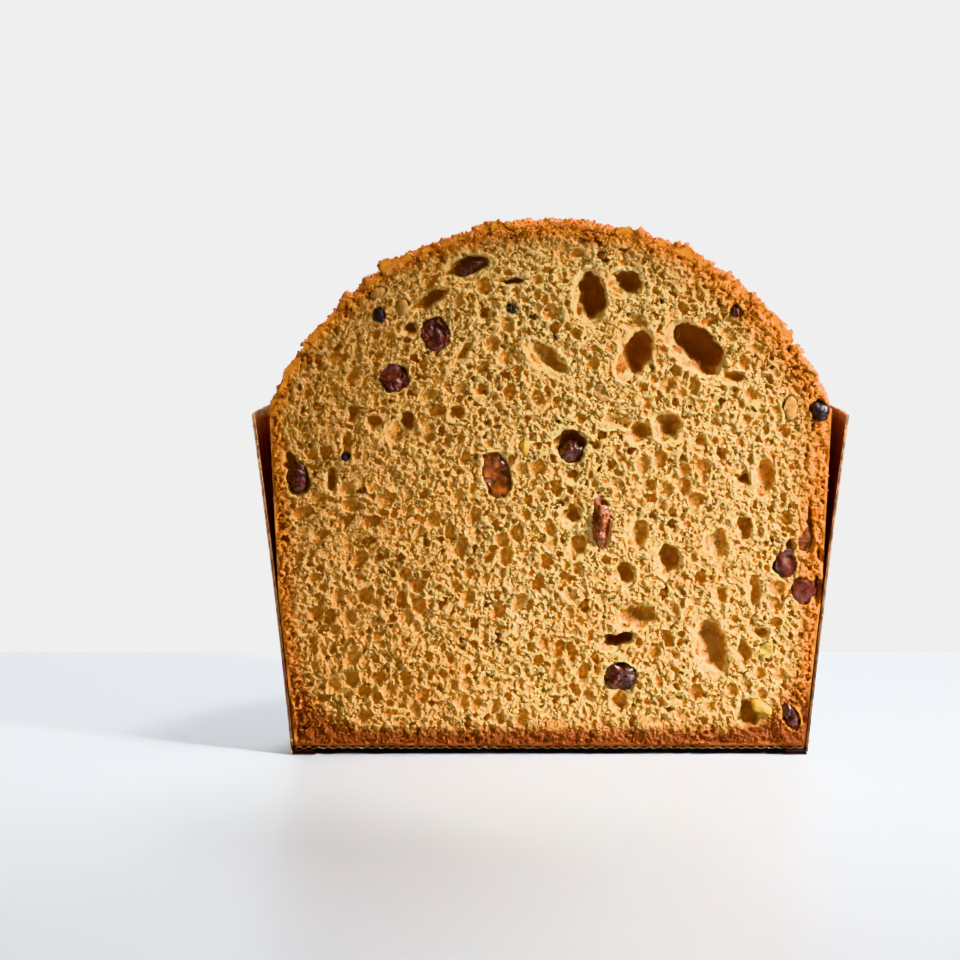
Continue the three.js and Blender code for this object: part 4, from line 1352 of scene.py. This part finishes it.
# %% Grains and crumbs
def drawn_places(piece, weight, count):
    """A mesh of bare points, drawn from a piece's points by weight."""
    points = np.empty(len(piece.data.vertices) * 3)
    piece.data.vertices.foreach_get("co", points)
    points = points.reshape(-1, 3)
    chance = weight(points)
    chosen = rng.choice(len(points), count, replace=False, p=chance / chance.sum())
    mesh = bpy.data.meshes.new("places")
    mesh.from_pydata(points[chosen].tolist(), [], [])
    return mesh


def grain_material(name, first, second):
    material, tree, shader = new_material(name)
    tree.links.new(blend_colours(tree, speckle(tree, 2.0, 2.5), linear(*first), linear(*second)),
                   shader.inputs["Base Color"])
    shader.inputs["Roughness"].default_value = 0.6
    shader.inputs["Subsurface Weight"].default_value = 0.2
    shader.inputs["Subsurface Scale"].default_value = 0.0006
    return material


def crust_weight(points):
    """Grains lie on the plates of the crust, most of them near the cut."""
    plate = on_map(map_plate, points / MM - np.array([0.0, CUT_Y / MM, 0.0]))
    return (0.03 + plate) * (0.3 + 0.7 * rise(9.0, 0.5, (points[:, 1] - CUT_Y) / MM))


def flake_weight(points):
    """Larger flakes lie along the top of the cut."""
    return rise(7.0, 1.5, (points[:, 1] - CUT_Y) / MM) * rise(0.13, 0.155, points[:, 2]) + 1e-6


def rim_weight(points):
    """Grains on the cut face lie in its band of crust."""
    under = depth_under_crust(points[:, 0] / MM, points[:, 2] / MM)
    return rise(4.0, 1.5, under) * rise(-1.0, 0.2, under) * rise(0.02, 0.06, points[:, 2]) + 1e-6


def paper_weight(points):
    """Crumbs cling to the paper's cut edge, most of them high up."""
    edge = rise(1.2, 0.2, (points[:, 1] - CUT_Y) / MM)
    return edge * (0.15 + rise(0.05, 0.11, points[:, 2])) + 1e-9


crust_grain = grain_material("crust_grain", (236, 152, 72), (176, 92, 38))
pale_crumb = grain_material("loose_crumb", (246, 214, 146), (222, 160, 84))
grain_pieces = [
    (grown("crust_grains", grains, {
        "Size": 0.0009, "Smallest share": 0.3, "Seed": 4, "Material": crust_grain},
        drawn_places(crust_pieces[0], crust_weight, 6500)), "loaf"),
    (grown("crust_flakes", grains, {
        "Size": 0.0017, "Smallest share": 0.3, "Seed": 5, "Roundness": 2, "Material": crust_grain},
        drawn_places(crust_pieces[0], flake_weight, 170)), "loaf"),
    (grown("paper_crumbs", grains, {
        "Size": 0.0008, "Smallest share": 0.2, "Seed": 6, "Material": pale_crumb},
        drawn_places(outer_sheet, paper_weight, 34)), "case_paper"),
]
for i, piece in enumerate(crumb_pieces):
    grain_pieces.append((grown(f"rim_grains_{i + 1}", grains, {
        "Size": 0.0007, "Smallest share": 0.3, "Seed": 7 + i, "Material": crust_grain},
        drawn_places(piece, rim_weight, 150)), "loaf"))
for piece, slot in grain_pieces:
    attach(piece, BODY)
    print(piece.name, len(piece.data.polygons), "triangles", round(time.time() - started, 1), "s")

# %% [markdown]
# A loaf of this kind is judged by its crumb, so the light has to show it. The camera stands
# far off with a long lens, a little above the table, so that the case's sides keep their true
# lean and the far rim hardly shows.

# %% Camera
CAMERA_AWAY = 1200.0
CAMERA_UP = 260.0
CAMERA_LEFT = 22.9
FOCAL_PIXELS = 3720.0
LOOK_DOWN = 8.0
SENSOR = 36.0

camera_data = bpy.data.cameras.new("camera")
camera_data.sensor_width = SENSOR
camera_data.lens = FOCAL_PIXELS / PICTURE_SIZE * SENSOR
camera = bpy.data.objects.new("camera", camera_data)
camera.location = metres([-CAMERA_LEFT, -CAMERA_AWAY, CAMERA_UP])
camera.rotation_euler = (math.radians(90.0 - LOOK_DOWN), 0.0, 0.0)
bpy.context.scene.collection.objects.link(camera)
bpy.context.scene.camera = camera
print("lens of", round(camera_data.lens, 1), "mm,", CAMERA_AWAY, "mm in front of the cut")

# %% [markdown]
# One lamp with a narrow spread stands at the right, a little in front of the cut, and rakes
# across it: each torn ridge gets a bright side, each hole a dark one, and the light fades to
# the left. A lamp overhead picks out the crust, one behind parts the loaf from its backdrop
# and throws its shadow forward, and a weak one at the left opens the dark side. Lamps and
# studio are placed in metres.

# %% Floor and light
def area_light(name, place, target, size, power, colour=(1.0, 1.0, 1.0), spread=180.0):
    data = bpy.data.lights.new(name, "AREA")
    data.shape = "DISK"
    data.size = size
    data.energy = power
    data.color = colour
    data.spread = math.radians(spread)
    light = bpy.data.objects.new(name, data)
    light.location = place
    light.rotation_euler = (Vector(target) - Vector(place)).to_track_quat("-Z", "Y").to_euler()
    bpy.context.scene.collection.objects.link(light)
    return light


area_light("key", (0.64, -0.38, 0.44), (0.1, -0.05, 0.045), size=0.2, power=0.67,
           colour=(1.0, 0.975, 0.94), spread=32.0)
area_light("fill", (-1.3, -1.2, 0.5), (0, 0, 0.08), size=1.2, power=0.45, colour=(1.0, 0.86, 0.7))
area_light("rim", (0.2, 0.9, 1.1), (0, 0, 0.12), size=0.5, power=14)
area_light("top", (0.26, -0.09, 0.95), (0, 0, 0.15), size=0.25, power=4.5, colour=(1.0, 0.96, 0.9))

world = bpy.data.worlds.new("studio")
world.use_nodes = True
sky = world.node_tree.nodes["Background"].inputs
sky["Color"].default_value = (1.0, 0.93, 0.85, 1.0)
sky["Strength"].default_value = 0.215
bpy.context.scene.world = world
bpy.context.scene.view_settings.view_transform = "Khronos PBR Neutral"

TABLE_BACK = 0.135  # where the table ends
BACKDROP = 1.6  # where the lit wall stands


def stage_piece(name, corners, material):
    """A flat piece of the studio, which the frame leaves alone."""
    mesh = bpy.data.meshes.new(name)
    mesh.from_pydata(corners, [], [(0, 1, 2, 3)])
    mesh.materials.append(material)
    piece = bpy.data.objects.new(name, mesh)
    bpy.context.scene.collection.objects.link(piece)


floor_material, _, floor_shader = new_material("pale_floor")
floor_shader.inputs["Base Color"].default_value = (0.645, 0.69, 0.755, 1.0)
floor_shader.inputs["Roughness"].default_value = 0.35
stage_piece("floor", [
    (-4, -3, 0), (4, -3, 0), (4, TABLE_BACK, 0), (-4, TABLE_BACK, 0)], floor_material)
wall_material, _, wall_shader = new_material("lit_backdrop")
wall_shader.inputs["Base Color"].default_value = (0.0, 0.0, 0.0, 1.0)
wall_shader.inputs["Emission Color"].default_value = (1.0, 1.0, 1.0, 1.0)
wall_shader.inputs["Emission Strength"].default_value = 0.99
stage_piece("backdrop", [
    (-4, BACKDROP, -2), (4, BACKDROP, -2), (4, BACKDROP, 3), (-4, BACKDROP, 3)], wall_material)
stage_piece("backdrop_foot", [
    (-6, TABLE_BACK, -0.5), (6, TABLE_BACK, -0.5), (6, BACKDROP, -0.5), (-6, BACKDROP, -0.5),
], wall_material)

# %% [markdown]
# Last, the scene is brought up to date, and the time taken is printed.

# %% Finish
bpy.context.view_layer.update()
print("took", round(time.time() - started, 1), "s")
